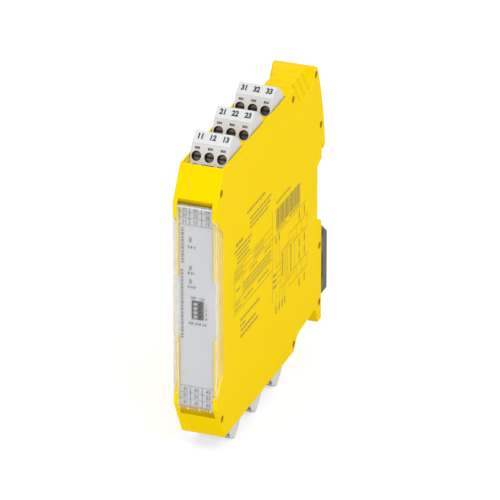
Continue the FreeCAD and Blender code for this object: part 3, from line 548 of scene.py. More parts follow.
class Trim(Enum):
    """Finishes of the pieces that only this scene has."""

    # Painted shade on the lip walls above and below the cover.
    SHADED = RecessShade("shaded_recess", (84, 66, 4), (222, 186, 0), 42.7, 2.2)
    SUNK = RecessShade("shaded_floor", (196, 164, 6), (188, 154, 0), 42.7, 2.2)
    # Painted shade in the peg holes; the seam line, a dark joint, shares this finish.
    HOLE = Moulding("peg_hole", (200, 154, 8), roughness=0.6, edge=0.05, shine=0.03)
    # Painted shade in the grip's valleys.
    VALLEY = Moulding("grip_valley", (244, 205, 0), roughness=0.6, edge=0.05, shine=0.01)
    # Painted highlight along the clear cover's edges and on its nubs.
    EDGE = ClearEdgeGlint("clear_edge")
    INK_SIDE = Ink("ink_on_yellow", (96, 82, 14), YELLOW, wear=0.35)
    INK_PANEL = Ink("ink_on_panel", (62, 62, 68), PANEL_GREY, wear=0.12)
    INK_LABEL = Ink("ink_on_label", (26, 26, 28), PLUG_WHITE, wear=0.08)
    LABEL = Moulding("label_plate", (219, 221, 220), roughness=0.4, mottle=0.006, edge=0.1)
    # Painted shade: dark sheets in the plugs' slots, screw holes and edges, and on the catch's
    # cheek.
    GAP = Moulding("dark_gap", (40, 35, 31), roughness=0.6, edge=0.05, shine=0.2)
    PAPER = Paper("floor_paper")


# Meshes as arrays


def circle(count: int, start: float = 0.0) -> np.ndarray:
    """Corner k of a circle is (cos t, sin t), with t = start + k of count equal turns."""
    turn = np.linspace(0, 2 * np.pi, count, endpoint=False) + start
    return np.column_stack([np.cos(turn), np.sin(turn)])


def band(count: int, low: int, high: int) -> list[tuple[int, ...]]:
    """The faces between two circles, from the numbers of their first corners."""
    step = np.arange(count)
    after = (step + 1) % count
    quads = np.column_stack([low + step, low + after, high + after, high + step])
    return [tuple(quad) for quad in quads.tolist()]


@dataclass
class Form:
    """Corner points in millimetres and the faces between them."""

    points: np.ndarray
    faces: list[tuple[int, ...]]

    @staticmethod
    def joined(forms: list[Form]) -> Form:
        """Several forms as one, with the face numbers moved on."""
        starts = np.cumsum([0] + [len(form.points) for form in forms[:-1]])
        faces = [tuple(np.add(face, start).tolist()) for form, start in zip(forms, starts)
                 for face in form.faces]
        return Form(np.concatenate([form.points for form in forms]), faces)


@dataclass(frozen=True)
class Sheet:
    """A flat place for printing or plates: a corner and two directions."""

    origin: Point
    across: Point = (1, 0, 0)
    up: Point = (0, 0, 1)

    def lift(self, flat: np.ndarray) -> np.ndarray:
        """Points on the sheet in the frame's axes.

        A point (a, b, c) is origin + a across + b up + c outward, where
        outward is across times up as vectors.

        Args:
            flat: rows of a, b and c, in millimetres.

        Returns:
            Rows of X, Y and Z, in millimetres.
        """
        across, up = np.array(self.across, float), np.array(self.up, float)
        across, up = across / np.linalg.norm(across), up / np.linalg.norm(up)
        return np.array(self.origin) + flat @ np.stack([across, up, np.cross(across, up)])

    def slabs(self, areas: Any, depth: Pair) -> Form:
        """Thin closed blocks on the sheet.

        Corner k of a block takes the near or far limit on each of the three
        directions as the bits of k say.

        Args:
            areas: rows of left, bottom, right and top, in millimetres.
            depth: underside and top of the blocks, outward from the sheet.

        Returns:
            The blocks as one form.
        """
        areas = np.asarray(areas, float).reshape(-1, 4)
        bits = np.array([[k & 1, k >> 1 & 1, k >> 2 & 1] for k in range(8)])
        near, far = (np.column_stack([ends, np.full(len(areas), level)])
                     for ends, level in zip((areas[:, :2], areas[:, 2:]), depth))
        corners = near[:, None] + bits[None] * (far - near)[:, None]
        quads = np.array([[0, 2, 3, 1], [4, 5, 7, 6], [0, 1, 5, 4], [2, 6, 7, 3], [0, 4, 6, 2],
                          [1, 3, 7, 5]])
        faces = (quads[None] + 8 * np.arange(len(areas))[:, None, None]).reshape(-1, 4)
        return Form(self.lift(corners.reshape(-1, 3)), [tuple(face) for face in faces.tolist()])

    def plate(self, area: Area, radius: float, depth: Pair, crown: float = 0.0) -> Form:
        """A closed plate with rounded corners and a softened upper edge.

        Ring point t follows the outline of a rounded rectangle: the corner
        nearest to angle t, plus radius times (cos t, sin t). Each ring lies
        at its own height and inset, and the last ring closes in a flat face.

        Args:
            area: left, bottom, right and top.
            radius: corner radius.
            depth: underside and top, outward from the sheet.
            crown: width of the softened upper edge.

        Returns:
            The plate.
        """
        left, bottom, right, top = area
        low, high = depth
        unit = circle(32, np.pi / 32)
        middle = np.array([(left + right) / 2, (bottom + top) / 2])
        half = np.array([(right - left) / 2, (top - bottom) / 2]) - radius
        core = middle + np.sign(unit) * half
        levels = [(low, 0.0), (high - crown, 0.0), (high - crown * 0.3, crown * 0.3),
                  (high, crown)]
        rings = [np.column_stack([core + unit * (radius - inset), np.full(len(unit), level)])
                 for level, inset in levels]
        count = len(unit)
        last = (len(levels) - 1) * count
        faces = [tuple(range(count))[::-1], tuple(range(last, last + count))]
        for base in range(0, last, count):
            faces += band(count, base, base + count)
        return Form(self.lift(np.concatenate(rings)), faces)

    def ring(self, centre: Pair, outer: float, inner: float, depth: Pair) -> Form:
        """A closed ring that stands on the sheet.

        Corner t of each circle is the centre plus the radius times
        (cos t, sin t). Four circles joined in turn close the ring.

        Args:
            centre: its middle on the sheet.
            outer: outer radius.
            inner: inner radius.
            depth: underside and top, outward from the sheet.

        Returns:
            The ring.
        """
        low, high = depth
        unit = circle(40)
        count = len(unit)
        circles = [(inner, low), (outer, low), (outer, high), (inner, high)]
        points = [np.column_stack([unit * radius + centre, np.full(count, level)])
                  for radius, level in circles]
        faces = [face for k in range(4) for face in band(count, (k + 1) % 4 * count, k * count)]
        return Form(self.lift(np.concatenate(points)), faces)

    def text(self, words: str, centre: Pair, height: float, narrow: float = 1.0,
             bold: float = 0.0, low: float = 0.0) -> Form:
        """Raised characters on the sheet.

        Args:
            words: the characters.
            centre: middle of the words on the sheet.
            height: height of a capital.
            narrow: width as a share of the usual one.
            bold: how far each outline is thickened.
            low: their underside, outward from the sheet.

        Returns:
            The characters.
        """
        curve = bpy.data.curves.new("characters", "FONT")
        curve.body = words
        curve.align_x, curve.align_y = "CENTER", "CENTER"
        curve.size = 1.0
        curve.offset = bold
        curve.extrude = 0.5
        curve.resolution_u = 3
        holder = bpy.data.objects.new("characters", curve)
        mesh = bpy.data.meshes.new_from_object(holder)
        count = len(mesh.vertices)
        points = np.empty(count * 3)
        mesh.vertices.foreach_get("co", points)
        points = points.reshape(-1, 3)
        near, far = points.min(0), points.max(0)
        points = points - (near + far) / 2
        scale = height / (far[1] - near[1])
        flat = points * [scale * narrow, scale, 0] + [*centre, low]
        flat[:, 2] += np.where(points[:, 2] > 0, INK_DEPTH[1], 0)
        faces = [tuple(face.vertices) for face in mesh.polygons]
        bpy.data.meshes.remove(mesh)
        bpy.data.objects.remove(holder)
        bpy.data.curves.remove(curve)
        return Form(self.lift(flat), faces)


def reshape(mesh: bpy.types.Mesh, near: float, flat: float = 0.0) -> None:
    """Merges points that are near each other and dissolves edges under an angle.

    Args:
        mesh: the mesh, which is changed.
        near: distance in metres.
        flat: angle in degrees.
    """
    shape = bmesh.new()
    shape.from_mesh(mesh)
    bmesh.ops.remove_doubles(shape, verts=shape.verts, dist=near)
    if flat:
        bmesh.ops.dissolve_limit(shape, angle_limit=math.radians(flat), verts=shape.verts,
                                 edges=shape.edges)
    shape.to_mesh(mesh)
    shape.free()


def enter(name: str, data: bpy.types.ID) -> bpy.types.Object:
    """Makes data an object of the scene, at the origin."""
    made = bpy.data.objects.new(name, data)
    bpy.context.scene.collection.objects.link(made)
    return made


class Workshop:
    """The loaded frame's nodes and the finishes that dress it."""

    def __init__(self, frame: dict[str, Any]) -> None:
        """Builds every finish once."""
        self.nodes: dict[str, bpy.types.Object] = frame["nodes"]
        self.finish = {look: recipe.material() for look, recipe in FINISHES.items()}
        self.finish |= {trim: trim.value.material() for trim in Trim}

    def dress(self, slot: Slot, *names: str) -> None:
        """Gives nodes of the frame the finish of their slot."""
        for name in names:
            mesh = self.nodes[name].data
            mesh.materials.clear()
            mesh.materials.append(self.finish[slot])
            LOG.info("%s: dressed as %s", name, slot.value)

    def piece(self, name: str, forms: list[Form], look: Slot | Trim, body: str, slot: Slot,
              smooth: float = 0.0) -> None:
        """Makes forms one object at the origin that rides on a body.

        Args:
            name: the piece's name.
            forms: its points and faces.
            look: its finish.
            body: the body it moves with.
            slot: the record's slot that its finish belongs to; it is not used.
            smooth: angle in degrees under which edges are shaded smooth.
        """
        form = Form.joined(forms)
        mesh = bpy.data.meshes.new(name)
        mesh.from_pydata((form.points * MM).tolist(), [], form.faces)
        reshape(mesh, 1e-7)
        if smooth:
            mesh.shade_smooth()
            mesh.set_sharp_from_angle(angle=math.radians(smooth))
        self.mount(name, mesh, look, body, slot)

    def mount(self, name: str, mesh: bpy.types.Mesh, look: Slot | Trim, body: str,
              slot: Slot) -> bpy.types.Object:
        """Makes a mesh an object with a finish that rides on a body, and returns it."""
        mesh.materials.clear()
        mesh.materials.append(self.finish[look])
        made = enter(name, mesh)
        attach(made, body)
        LOG.info("%s: %d faces on %s", name, len(mesh.polygons), body)
        return made


# Sub-assemblies


@dataclass(frozen=True)
class Dashes:
    """Rows of short dashes in the places of words.

    Dash k covers a share of step k. The lengths of the steps go with
    1 + swing sin(rate k + level), and together they fill the row. The pitch
    is about one step, and spare is the part of a last step that counts as one.
    """

    pitch: float
    spare: float
    swing: float
    rate: float
    share: float

    def row(self, start: float, end: float, level: float, height: float) -> np.ndarray:
        """One row as areas.

        Args:
            start: where the row starts.
            end: where it ends.
            level: its middle line.
            height: its height.

        Returns:
            Rows of left, bottom, right and top.
        """
        count = int((end - start) / self.pitch + self.spare)
        steps = 1 + self.swing * np.sin(self.rate * np.arange(count) + level)
        edges = start + np.concatenate([[0], np.cumsum(steps)]) * (end - start) / steps.sum()
        low = np.full(count, level - height / 2)
        right = edges[:-1] + np.diff(edges) * self.share
        return np.column_stack([edges[:-1], low, right, low + height])


def ruled(lines: list[Line], width: float) -> np.ndarray:
    """Straight level or upright lines as areas, each widened by half the width all round."""
    ends = np.array(lines, float)
    low = np.minimum(ends[:, :2], ends[:, 2:])
    high = np.maximum(ends[:, :2], ends[:, 2:])
    return np.column_stack([low - width / 2, high + width / 2])


def upright_lines(groups: tuple[Uprights, ...]) -> list[Line]:
    """A line at each place of each group, over each of the group's spans."""
    return [(place, low, place, high) for places, *spans in groups
            for place in places for low, high in spans]


def bars(places: Any, width: float, span: Pair) -> list[Area]:
    """An upright bar round each place across, over one span of levels."""
    return [(place - width / 2, span[0], place + width / 2, span[1]) for place in places]


@dataclass
class Housing:
    """The two yellow shells, the print on the right side, and painted shade in the lips, peg holes
    and grip valleys.

    Places on the right side are given as Y and Z. A line of the print is
    given by the Y and Z of its two ends.
    """

    width: float = 17.5
    lip_half: float = 6.95
    lip_depth: Pair = (-0.02, 0.03)
    lips: tuple[tuple[str, Trim, float, float, float], ...] = (
        ("lip_shade_top", Trim.SHADED, -113.5, 42.8, 45.0),
        ("lip_shade_bottom", Trim.SUNK, -111.8, -45.75, -42.05))
    peg_radius: float = 1.36
    peg_wall: float = 0.13
    peg_sleeve: Pair = (-1.1, -0.03)
    peg_floor: Pair = (-1.12, -1.06)
    pegs: tuple[Pair, ...] = (
        (-109.2, 47.3), (-109.0, -47.0), (-32.4, 52.2), (-7.1, 51.7), (-1.3, 28.1),
        (-2.4, -23.3), (-2.3, -47.9), (-31.0, -52.7))
    valleys: tuple[float, ...] = (-25.6, -20.45, -15.3)
    valley_foot: Pair = (8.185, 48.0)
    valley_rise: Point = (-2.238, -2.22, 7.6)
    valley_width: float = 2.7
    valley_depth: Pair = (-0.05, 0.015)
    seam: Pair = (-3.73, -3.66)
    seam_depth: Pair = (-0.14, -0.01)
    seam_stop: float = 0.3
    bevels: tuple[Line, ...] = (
        (-113.5, 45.07, -106.5, 56.1), (-106.3, -56.1, -111.8, -45.84))
    line: float = 0.17
    heavy_line: float = 0.8
    table_levels: tuple[float, ...] = (8.9, 6.1, 3.6, -4.8, -9.6)
    table_ends: Pair = (-95.9, -55.0)
    table_posts: tuple[Uprights, ...] = (
        ((-95.9,), (-9.6, 8.9)), ((-84.7,), (3.6, 8.9)), ((-86.9,), (-9.6, 3.6)),
        ((-54.9,), (-24.0, 15.0)))
    rule: Line = (-55.0, 3.2, -18.0, 3.2)
    stripe_block: Area = (-50.6, 5.7, -23.7, 14.0)
    stripe_widths: tuple[float, ...] = (0.7, 0.35, 1.1, 0.35, 0.5, 0.35, 0.9, 0.5)
    stripe_gaps: tuple[float, ...] = (0.45, 0.4, 0.8, 0.5, 0.4)
    boxes: tuple[Area, ...] = (
        (-45.5, -21.4, -30.8, -6.1), (-36.5, -8, -16.6, -2.6), (-36.5, -25, -16.6, -19.7))
    link: Line = (-51, -10.5, -45.5, -10.5)
    feeders: tuple[Uprights, ...] = (
        ((-51, -47.5), (1.8, -10.5)), ((-51, -47.4), (-20.5, -27)),
        ((-44.2, -41.2), (-21.4, -27)), ((-41.2, -39.6, -38), (-21.4, -6.1)),
        ((-28.6, -22.6), (-8, -2.6), (-25, -19.7)),
        ((-25.4, -19.7), (1.8, -2.6), (-8, -19.7), (-25, -27)))
    marks: tuple[Uprights, ...] = (
        ((-43.6,), (-16.8, -7.4)), ((-34.6,), (-18.8, -8.6)),
        ((-25.4, -19.7), (-12.6, -10.4), (-17.8, -15.6), (-29.6, -27.4), (-0.6, 1.6)),
        ((-51, -47.4, -44.2, -41.2), (-29.6, -27.2)), ((-51, -47.5), (0.2, 2.2)))
    outputs: tuple[float, ...] = (-13, -15.5, -18)
    output_line: Pair = (-52, -45.5)
    output_mark: Pair = (-53.6, -51.4)
    dashes: Dashes = Dashes(pitch=1.25, spare=0.0, swing=0.35, rate=2.3, share=0.62)
    rows: tuple[Row, ...] = (
        (-82, -62.5, 26.9, 1), (-79, -56, 23.2, 0.8), (-79, -57, 21.3, 0.8),
        (-79, -59, 19.4, 0.8), (-94, -86.5, 18.6, 1.3), (-95.8, -77, 16.2, 0.8),
        (-93.5, -78.5, 14.3, 0.8), (-92.5, -80.5, 12.5, 0.8), (-93, -79, 10.7, 0.8),
        (-95, -86, 7.5, 0.7), (-75, -64, 7.5, 0.7), (-95, -86, 4.9, 0.7),
        (-75, -64, 4.9, 0.7), (-79.5, -71.5, 2, 0.7), (-63.5, -56, 2, 0.7),
        (-94, -89.5, -0.4, 0.8), (-86.3, -56, -0.5, 0.7), (-86.3, -56.5, -2.1, 0.7),
        (-86.3, -56.5, -3.7, 0.7), (-94.5, -89, -6.2, 0.7), (-95, -88, -8.2, 0.7),
        (-85.5, -76, -7.2, 0.8), (-70.5, -59, -7.2, 0.8), (-89.5, -68.5, -14.7, 0.9),
        (-89.5, -84, -17, 0.8), (-89, -73, -19.2, 1), (-89.5, -70, -21.6, 1),
        (-50.5, -35, 16.8, 0.8), (-50, -39.5, 4.7, 0.7), (-36.5, -24.5, 4.7, 0.7))

    def build(self, shop: Workshop) -> None:
        """Dresses the shells and adds every piece on them."""
        shop.dress(Slot.HOUSING, "housing_right", "housing_left")
        side = Sheet((self.width / 2, 0, 0), (0, 1, 0))
        areas = np.concatenate([self.frames(), self.stripes(),
                                *(self.dashes.row(*row) for row in self.rows), self.diagram()])
        root = ("root", Slot.HOUSING)
        shop.piece("side_print", [side.slabs(areas, INK_DEPTH)], Trim.INK_SIDE, *root)
        # Painted shade on the lip walls above and below the cover.
        for name, trim, y, low, high in self.lips:
            area = (-self.lip_half, low, self.lip_half, high)
            shop.piece(name, [Sheet((0, y, 0)).slabs([area], self.lip_depth)], trim, *root)
        # Painted shade in the peg holes.
        shop.piece("peg_holes", self.peg_holes(side), Trim.HOLE, *root, ROUND)
        # The seam line is a dark joint in the same darker finish.
        shop.piece("seam_line", self.seam_lines(), Trim.HOLE, *root)
        shop.piece("grip_valleys", self.grip_valleys(), Trim.VALLEY, *root)

    def peg_holes(self, side: Sheet) -> list[Form]:
        """Painted shade in each peg hole: a darker sleeve and a round floor."""
        radius = self.peg_radius
        sleeves = [side.ring(place, radius + self.peg_wall, radius, self.peg_sleeve)
                   for place in self.pegs]
        floors = [side.plate((y - radius, z - radius, y + radius, z + radius), radius,
                             self.peg_floor) for y, z in self.pegs]
        return sleeves + floors

    def seam_lines(self) -> list[Form]:
        """A narrow line along each front bevel, a little under its surface."""
        lines = []
        for y, z, y_end, z_end in self.bevels:
            bevel = Sheet((0, y, z), up=(0, y_end - y, z_end - z))
            length = math.hypot(y_end - y, z_end - z)
            area = (self.seam[0], self.seam_stop, self.seam[1], length - self.seam_stop)
            lines.append(bevel.slabs([area], self.seam_depth))
        return lines

    def grip_valleys(self) -> list[Form]:
        """A slanted plate of painted shade on the floor of each valley between the grip's ribs."""
        x, z = self.valley_foot
        area = (0.0, 0.0, self.valley_width, math.hypot(*self.valley_rise))
        return [Sheet((x, y, z), (0, 1, 0), self.valley_rise).slabs([area], self.valley_depth)
                for y in self.valleys]

    def frames(self) -> np.ndarray:
        """Lines of the table: its levels, its posts and the long rule to the rear."""
        start, end = self.table_ends
        levels = [(start, z, end, z) for z in self.table_levels]
        return ruled([*levels, *upright_lines(self.table_posts), self.rule], self.line)

    def stripes(self) -> np.ndarray:
        """A block of plain upright stripes.

        The widths and the gaps repeat two short series, and each stripe
        starts where the stripe and the gap before it end.
        """
        left, bottom, right, top = self.stripe_block
        count = len(self.stripe_widths) * len(self.stripe_gaps)
        widths = np.resize(self.stripe_widths, count)
        gaps = np.resize(self.stripe_gaps, count)
        starts = left + np.concatenate([[0], np.cumsum(widths + gaps)[:-1]])
        inside = starts + widths < right
        starts, widths = starts[inside], widths[inside]
        level = np.ones(len(starts))
        return np.column_stack([starts, bottom * level, starts + widths, top * level])

    def diagram(self) -> np.ndarray:
        """Lines of the plain block diagram: its feeders, boxes and heavy marks."""
        thin = [self.link, *upright_lines(self.feeders)]
        for left, bottom, right, top in self.boxes:
            thin += [(left, bottom, right, bottom), (left, top, right, top),
                     (left, bottom, left, top), (right, bottom, right, top)]
        heavy = upright_lines(self.marks)
        for lines, (start, end) in ((thin, self.output_line), (heavy, self.output_mark)):
            lines += [(start, z, end, z) for z in self.outputs]
        return np.concatenate([ruled(thin, self.line), ruled(heavy, self.heavy_line)])


@dataclass
class Plug:
    """One plug-in terminal block with its label plate, numbers, combs and dark sheets of painted
    shade.

    Its own axes start where its middle screw meets the housing's edge.
    Depths are outward from the face that carries the piece.
    """

    side: Side
    number: int
    top: float = 56.1
    front: float = -114.5
    first: float = 15.3
    pitch: float = 22.9
    pole: float = 5.08
    half_width: float = 7.55
    tilt: float = 25.8
    face_top: Pair = (2.0, 4.1)
    ridge: Pair = (6.5, 7.4)
    label_margin: float = 0.25
    label_foot: float = 0.2
    label_corner: float = 0.35
    label_depth: Pair = (-0.05, 0.25)
    label_crown: float = 0.12
    digit: float = 2.5
    digit_rise: float = 3.2
    digit_shift: float = 0.15
    # The slot floors, foot shades, drives, hole sleeves, and the lower plugs' edge and marks are
    # dark sheets of painted shade.
    slot_width: float = 2.0
    slot_span: Pair = (2.65, 3.55)
    slot_depth: Pair = (-0.55, -0.4)
    tooth: float = 0.12
    tooth_depth: Pair = (-1.2, -0.25)
    foot_shades: tuple[Area, ...] = (
        (-6.0, -3.37, -4.0, -2.87), (-2.6, -3.37, 2.3, -2.87), (3.7, -3.37, 5.6, -2.87))
    drive_width: float = 3.2
    drive_span: Pair = (-0.33, 0.33)
    drive_depth: Pair = (-1.55, -1.42)
    screw: float = 1.78
    hole: float = 1.94
    hole_depth: Pair = (-1.28, -0.12)
    edge: Area = (-7.35, 4.2, 7.45, 4.56)
    marks: tuple[float, ...] = (-6.8, -5.1, 5.1, 6.8)
    mark_width: float = 0.4
    mark_span: Pair = (3.3, 4.2)

    def build(self, shop: Workshop) -> None:
        """Dresses the plug and its header and adds what the plug carries."""
        edge = self.side.name.lower()
        tag, body = f"{edge}_{self.number}", f"{edge}_plug_{self.number}"
        for group, slot in (("plug", Slot.PLUG), ("plug_screws", Slot.SCREW),
                            ("plug_clamps", Slot.CLAMP), ("header", Slot.HEADER),
                            ("header_pins", Slot.PIN)):
            shop.dress(slot, f"{group}_{tag}")
        label, face = self.label_sheet(), self.screw_sheet()
        shop.piece(f"label_{tag}", [self.plate(label)], Trim.LABEL, body, Slot.PLUG, ROUND)
        shop.piece(f"numbers_{tag}", self.numbers(label), Trim.INK_LABEL, body, Slot.PLUG)
        shop.piece(f"combs_{tag}", [self.combs(face)], Slot.PLUG, body, Slot.PLUG)
        shop.piece(f"shades_{tag}", self.shades(face), Trim.GAP, body, Slot.SCREW, ROUND)

    @property
    def slope(self) -> float:
        """Length of the sloped face for the label."""
        return math.dist(self.face_top, self.ridge)

    @property
    def poles(self) -> np.ndarray:
        """Places of the three poles across the plug."""
        return self.pole * np.arange(-1, 2)

    def plate(self, label: Sheet) -> Form:
        """The label plate, a little inside the sloped face's edges."""
        reach = self.half_width - self.label_margin
        area = (-reach, self.label_foot, reach, self.slope - self.label_margin)
        return label.plate(area, self.label_corner, self.label_depth, self.label_crown)

    def numbers(self, label: Sheet) -> list[Form]:
        """A number for each pole: the plug's digit, which goes on below, and the pole's."""
        on_top = self.side is Side.TOP
        series = self.number if on_top else self.number + 3
        rise = self.digit_rise if on_top else self.slope - self.digit_rise
        return [label.text(f"{series}{k + 1}", (x + self.digit_shift, rise), self.digit,
                           narrow=0.85, bold=0.05, low=self.label_depth[1])
                for k, x in enumerate(self.poles)]

    def combs(self, face: Sheet) -> Form:
        """Three teeth in each test slot, with their centres a quarter of it apart."""
        places = np.add.outer(self.poles, self.slot_width * np.array([-0.25, 0.0, 0.25]))
        return face.slabs(bars(places.ravel(), self.tooth, self.slot_span), self.tooth_depth)

    def shades(self, face: Sheet) -> list[Form]:
        """Painted shade: dark sheets on the slot floors, at the foot of the screw face, in the
        drives, along the lower plugs' edge and marks, and as sleeves in the screw holes.
        """
        slots = bars(self.poles, self.slot_width, self.slot_span)
        drives = bars(self.poles, self.drive_width, self.drive_span)
        lines = [*self.foot_shades]
        if self.side is Side.BOTTOM:
            lines += [self.edge, *bars(self.marks, self.mark_width, self.mark_span)]
        dark = [face.slabs(slots, self.slot_depth), face.slabs(lines, LINE_DEPTH),
                face.slabs(drives, self.drive_depth)]
        return dark + [face.ring((x, 0.0), self.hole, self.screw, self.hole_depth)
                       for x in self.poles]

    def spot(self, y: float, z: float) -> Point:
        """A point of the plug's middle plane, from its own axes."""
        return (0.0, self.front + self.first + self.pitch * (self.number - 1) + y,
                (self.top + z) * self.side.value)

    def label_sheet(self) -> Sheet:
        """The sloped face for the label: on the bottom plugs its words stand upright too."""
        depth, rise = np.subtract(self.ridge, self.face_top)
        if self.side is Side.TOP:
            return Sheet(self.spot(*self.face_top), up=(0.0, depth, rise))
        return Sheet(self.spot(*self.ridge), up=(0.0, -depth, rise))

    def screw_sheet(self) -> Sheet:
        """The steep face over the screws, centred on their axes."""
        angle = math.radians(self.tilt)
        rise = (0.0, math.sin(angle), math.cos(angle) * self.side.value)
        return Sheet(self.spot(0.0, 0.0), (self.side.value, 0, 0), rise)


@dataclass
class FrontPanel:
    """The light grey panel with its grids, its lights and its print.

    Places on the panel are given as X and Z. The cells are the levels of the
    numbers in the grids, by the first digit, and the columns their places
    across. An upright row of dashes starts and ends at two levels.
    """

    face: float = -112.3
    line: float = 0.18
    post: float = 0.28
    posts: Pair = (-2.7, 2.05)
    edge: float = 6.8
    grids: tuple[tuple[float, ...], ...] = ((33.9, 36.6, 39.2, 41.8), (-41.7, -38.9, -36.2, -33.4))
    columns: tuple[float, ...] = (-4.75, -0.3, 4.4)
    cells: tuple[tuple[int, float], ...] = (
        (3, 40.4), (2, 37.9), (1, 35.25), (4, -34.8), (5, -37.5), (6, -40.3))
    cell_text: float = 1.45
    switch_text: float = 1.15
    switch_words: tuple[tuple[str, float], ...] = (("OFF", -1.35), ("ON", 2.1))
    switch_level: float = 3.9
    switch_first: Pair = (3.7, 1.7)
    switch_pitch: float = 1.97
    dashes: Dashes = Dashes(pitch=1.0, spare=0.5, swing=0.3, rate=2.1, share=0.5)
    rows: tuple[Row, ...] = (
        (-3.45, -0.05, 24.85, 1.0), (-3.5, -0.7, 14.0, 1.0), (-3.5, 0.05, 8.25, 1.0),
        (-3.2, 4.1, -6.8, 1.0))
    upright_rows: tuple[Row, ...] = ((-13.4, 15.6, -5.85, 1.05), (18.0, 33.0, -5.6, 1.05))

    def build(self, shop: Workshop) -> None:
        """Dresses the panel and its lights and prints it."""
        shop.dress(Slot.PANEL, "front_panel")
        shop.dress(Slot.GUIDE, "light_guide_1", "light_guide_2", "light_guide_3")
        shop.dress(Slot.CHIP, "light_chips")
        sheet = Sheet((0, self.face, 0))
        areas = [self.grid(levels) for levels in self.grids]
        areas += [self.dashes.row(*row) for row in self.rows]
        areas += [self.dashes.row(*row)[:, [1, 0, 3, 2]] for row in self.upright_rows]
        x, z = self.switch_first
        forms = [sheet.slabs(np.concatenate(areas), INK_DEPTH)]
        forms += [sheet.text(word, (place, self.switch_level), self.switch_text, 0.85, 0.02)
                  for word, place in self.switch_words]
        forms += [sheet.text(str(k + 1), (x, z - self.switch_pitch * k), self.switch_text,
                             bold=0.02) for k in range(4)]
        forms += [sheet.text(f"{series}{k + 1}", (place, level), self.cell_text, bold=0.025)
                  for series, level in self.cells for k, place in enumerate(self.columns)]
        shop.piece("panel_print", forms, Trim.INK_PANEL, "root", Slot.PANEL)

    def grid(self, levels: tuple[float, ...]) -> np.ndarray:
        """Lines of a grid of three rows and three columns, from the levels of its four lines."""
        half = self.line / 2
        across = [(-self.edge, level - half, self.edge, level + half) for level in levels]
        return np.array(across + bars(self.posts, self.post, (min(levels), max(levels))))


@dataclass
class ClearCover:
    """The hinged clear cover, with softened edges and painted highlight lines along them."""

    merge: float = 2e-6
    flat: float = 0.5
    sharp: float = 30.0
    soft: float = 0.2
    front: float = -114.5
    half: float = 6.8
    wide: float = 8.7
    line: float = 0.2
    foot: float = -41.8
    head: float = 41.9
    head_line: float = 0.55
    wing_foot: float = -35.6
    wing_head: float = 37.3
    line_depth: Pair = (-0.03, 0.0)
    nubs: tuple[float, ...] = (-6.6, -3.1, 1.6, 5.9)
    nub_width: float = 0.26
    nub_span: Pair = (-42.3, -41.7)
    nub_depth: Pair = (-0.9, -0.1)

    def build(self, shop: Workshop) -> None:
        """Rounds a merged copy of the cover, lets it stand for the node and adds its painted
        highlight lines.
        """
        mesh = shop.nodes["front_cover"].data.copy()
        mesh.name = "clear_cover"
        reshape(mesh, self.merge, self.flat)
        made = shop.mount("clear_cover", mesh, Slot.COVER, "cover", Slot.COVER)
        soften = made.modifiers.new("soften", "BEVEL")
        soften.width = self.soft * MM
        soften.segments = 3
        soften.limit_method = "ANGLE"
        soften.angle_limit = math.radians(self.sharp)
        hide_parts("front_cover")
        face = Sheet((0, self.front, 0))
        nubs = bars(self.nubs, self.nub_width, self.nub_span)
        forms = [face.slabs(self.edge_lines(), self.line_depth), face.slabs(nubs, self.nub_depth)]
        shop.piece("cover_edges", forms, Trim.EDGE, "cover", Slot.COVER)

    def edge_lines(self) -> list[Area]:
        """Painted highlight lines: the head, both sides of the face, both wings and the wings'
        ends, as areas.
        """
        half, wide, thin = self.half, self.wide, self.line
        low, high, foot, head = self.foot, self.head, self.wing_foot, self.wing_head
        lines = [(-half, high, half, high + self.head_line), (-half, low, thin - half, high),
                 (half - thin, low, half, foot), (half - thin, head, half, high),
                 (-wide, foot, thin - wide, head), (wide - thin, foot, wide, head)]
        return lines + [(left, level, right, level + thin) for level in (foot, head - thin)
                        for left, right in ((-wide, -half), (half, wide))]


@dataclass
class Mechanism:
    """The switch, the circuit board with its parts, and the rail catch.

    The notch shades are dark areas of painted shade on the catch's right cheek, in Y and Z.
    """

    cheek: float = 8.2
    notch_shades: tuple[Area, ...] = (
        (1.5, -21.3, 2.9, -18.5), (1.5, -39.5, 2.9, -28.9))

    def build(self, shop: Workshop) -> None:
        """Dresses every node of these groups and adds the painted notch shades."""
        cheek = Sheet((self.cheek, 0, 0), (0, 1, 0))
        shop.piece("catch_notches", [cheek.slabs(self.notch_shades, LINE_DEPTH)], Trim.GAP, "catch",
                   Slot.CATCH)
        shop.dress(Slot.LEVER, *(f"switch_lever_{number}" for number in (1, 2, 3, 4)))
        shop.dress(Slot.RELAY, "relay_1", "relay_2")
        for name, slot in (("switch_body", Slot.SWITCH), ("circuit_board", Slot.BOARD),
                           ("capacitor", Slot.CAPACITOR), ("transformer_core", Slot.CORE),
                           ("rail_catch", Slot.CATCH)):
            shop.dress(slot, name)


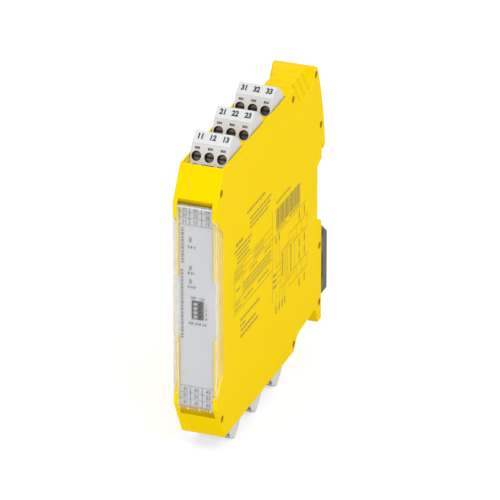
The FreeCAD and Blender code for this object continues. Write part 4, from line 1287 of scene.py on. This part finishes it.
@dataclass
class Studio:
    """A pale floor, soft lamps, a plain white background and the camera.

    A lamp has a name, a place and a side in metres, and a power in watts.
    """

    camera_at: Point = (777.95, -2131.30, 1093.49)
    azimuth: float = 20.548
    elevation: float = 26.303
    lens: float = 467.96
    sensor: float = 36.0
    clip: Pair = (0.1, 20.0)
    floor: float = -63.6
    radius: float = 4000.0
    world: float = 0.68
    aim: float = -0.06
    lamps: tuple[tuple[str, Point, float, float], ...] = (
        ("key", (1.3, -1.1, 1.7), 1.0, 22.0), ("fill", (-0.6, -1.8, 0.7), 1.2, 6.5),
        ("back", (-0.9, 1.4, 1.3), 1.2, 8.0))

    def build(self, shop: Workshop) -> None:
        """Sets up everything that isn't the object."""
        self.place_camera()
        self.place_floor(shop)
        self.light_world()
        for lamp in self.lamps:
            self.place_lamp(*lamp)
        bpy.context.scene.view_settings.view_transform = "Standard"

    def place_camera(self) -> None:
        """Puts the camera where the view needs it, turned by its two angles."""
        data = bpy.data.cameras.new("camera")
        data.lens = self.lens
        data.sensor_width = self.sensor
        data.clip_start, data.clip_end = self.clip
        camera = enter("camera", data)
        camera.location = np.array(self.camera_at) * MM
        camera.rotation_euler = (math.radians(90 - self.elevation), 0.0, math.radians(self.azimuth))
        bpy.context.scene.camera = camera

    def place_floor(self, shop: Workshop) -> None:
        """A wide round floor, whose rim is the radius times a circle."""
        rim = circle(96) * self.radius
        points = np.column_stack([rim, np.full(len(rim), self.floor)]) * MM
        mesh = bpy.data.meshes.new("floor")
        mesh.from_pydata(points.tolist(), [], [tuple(range(len(rim)))])
        mesh.materials.append(shop.finish[Trim.PAPER])
        enter("floor", mesh)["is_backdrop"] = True

    def light_world(self) -> None:
        """White where it is seen, and an even soft light elsewhere."""
        world = bpy.data.worlds.new("surroundings")
        bpy.context.scene.world = world
        world.use_nodes = True
        graph = Graph(world.node_tree)
        strength = self.world + graph.seen() * (1 - self.world)
        graph.finish(graph.node("Background",
                                sockets={"Color": WHITE, "Strength": strength}))

    def place_lamp(self, name: str, at: Point, size: float, power: float) -> None:
        """A soft square lamp that faces the object's middle, which is at Y = aim.

        Args:
            name: its name.
            at: its place, in metres.
            size: its side, in metres.
            power: its power, in watts.
        """
        data = bpy.data.lights.new(name, "AREA")
        data.size = size
        data.energy = power
        lamp = enter(name, data)
        x, y, z = at
        away = y - self.aim
        lamp.location = at
        lamp.rotation_euler = (math.atan2(math.hypot(x, away), z), 0.0,
                               math.atan2(away, x) + math.pi / 2)


def corners(limits: tuple[Any, Any]) -> list[list[float]]:
    """A box's two corners as plain lists of numbers."""
    return [[float(part) for part in corner] for corner in limits]


def main() -> None:
    """Builds the looks."""
    logging.basicConfig(level=logging.INFO, format="%(message)s")
    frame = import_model()
    cad_box = corners(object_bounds())
    shop = Workshop(frame)
    plugs = [Plug(side, number) for side in Side for number in (1, 2, 3)]
    for assembly in (Studio(), Housing(), *plugs, FrontPanel(), ClearCover(), Mechanism()):
        assembly.build(shop)
        LOG.info("%s is done", type(assembly).__name__)
    {"cad": cad_box, "visual": corners(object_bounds())}


if __name__ == "__main__":
    main()
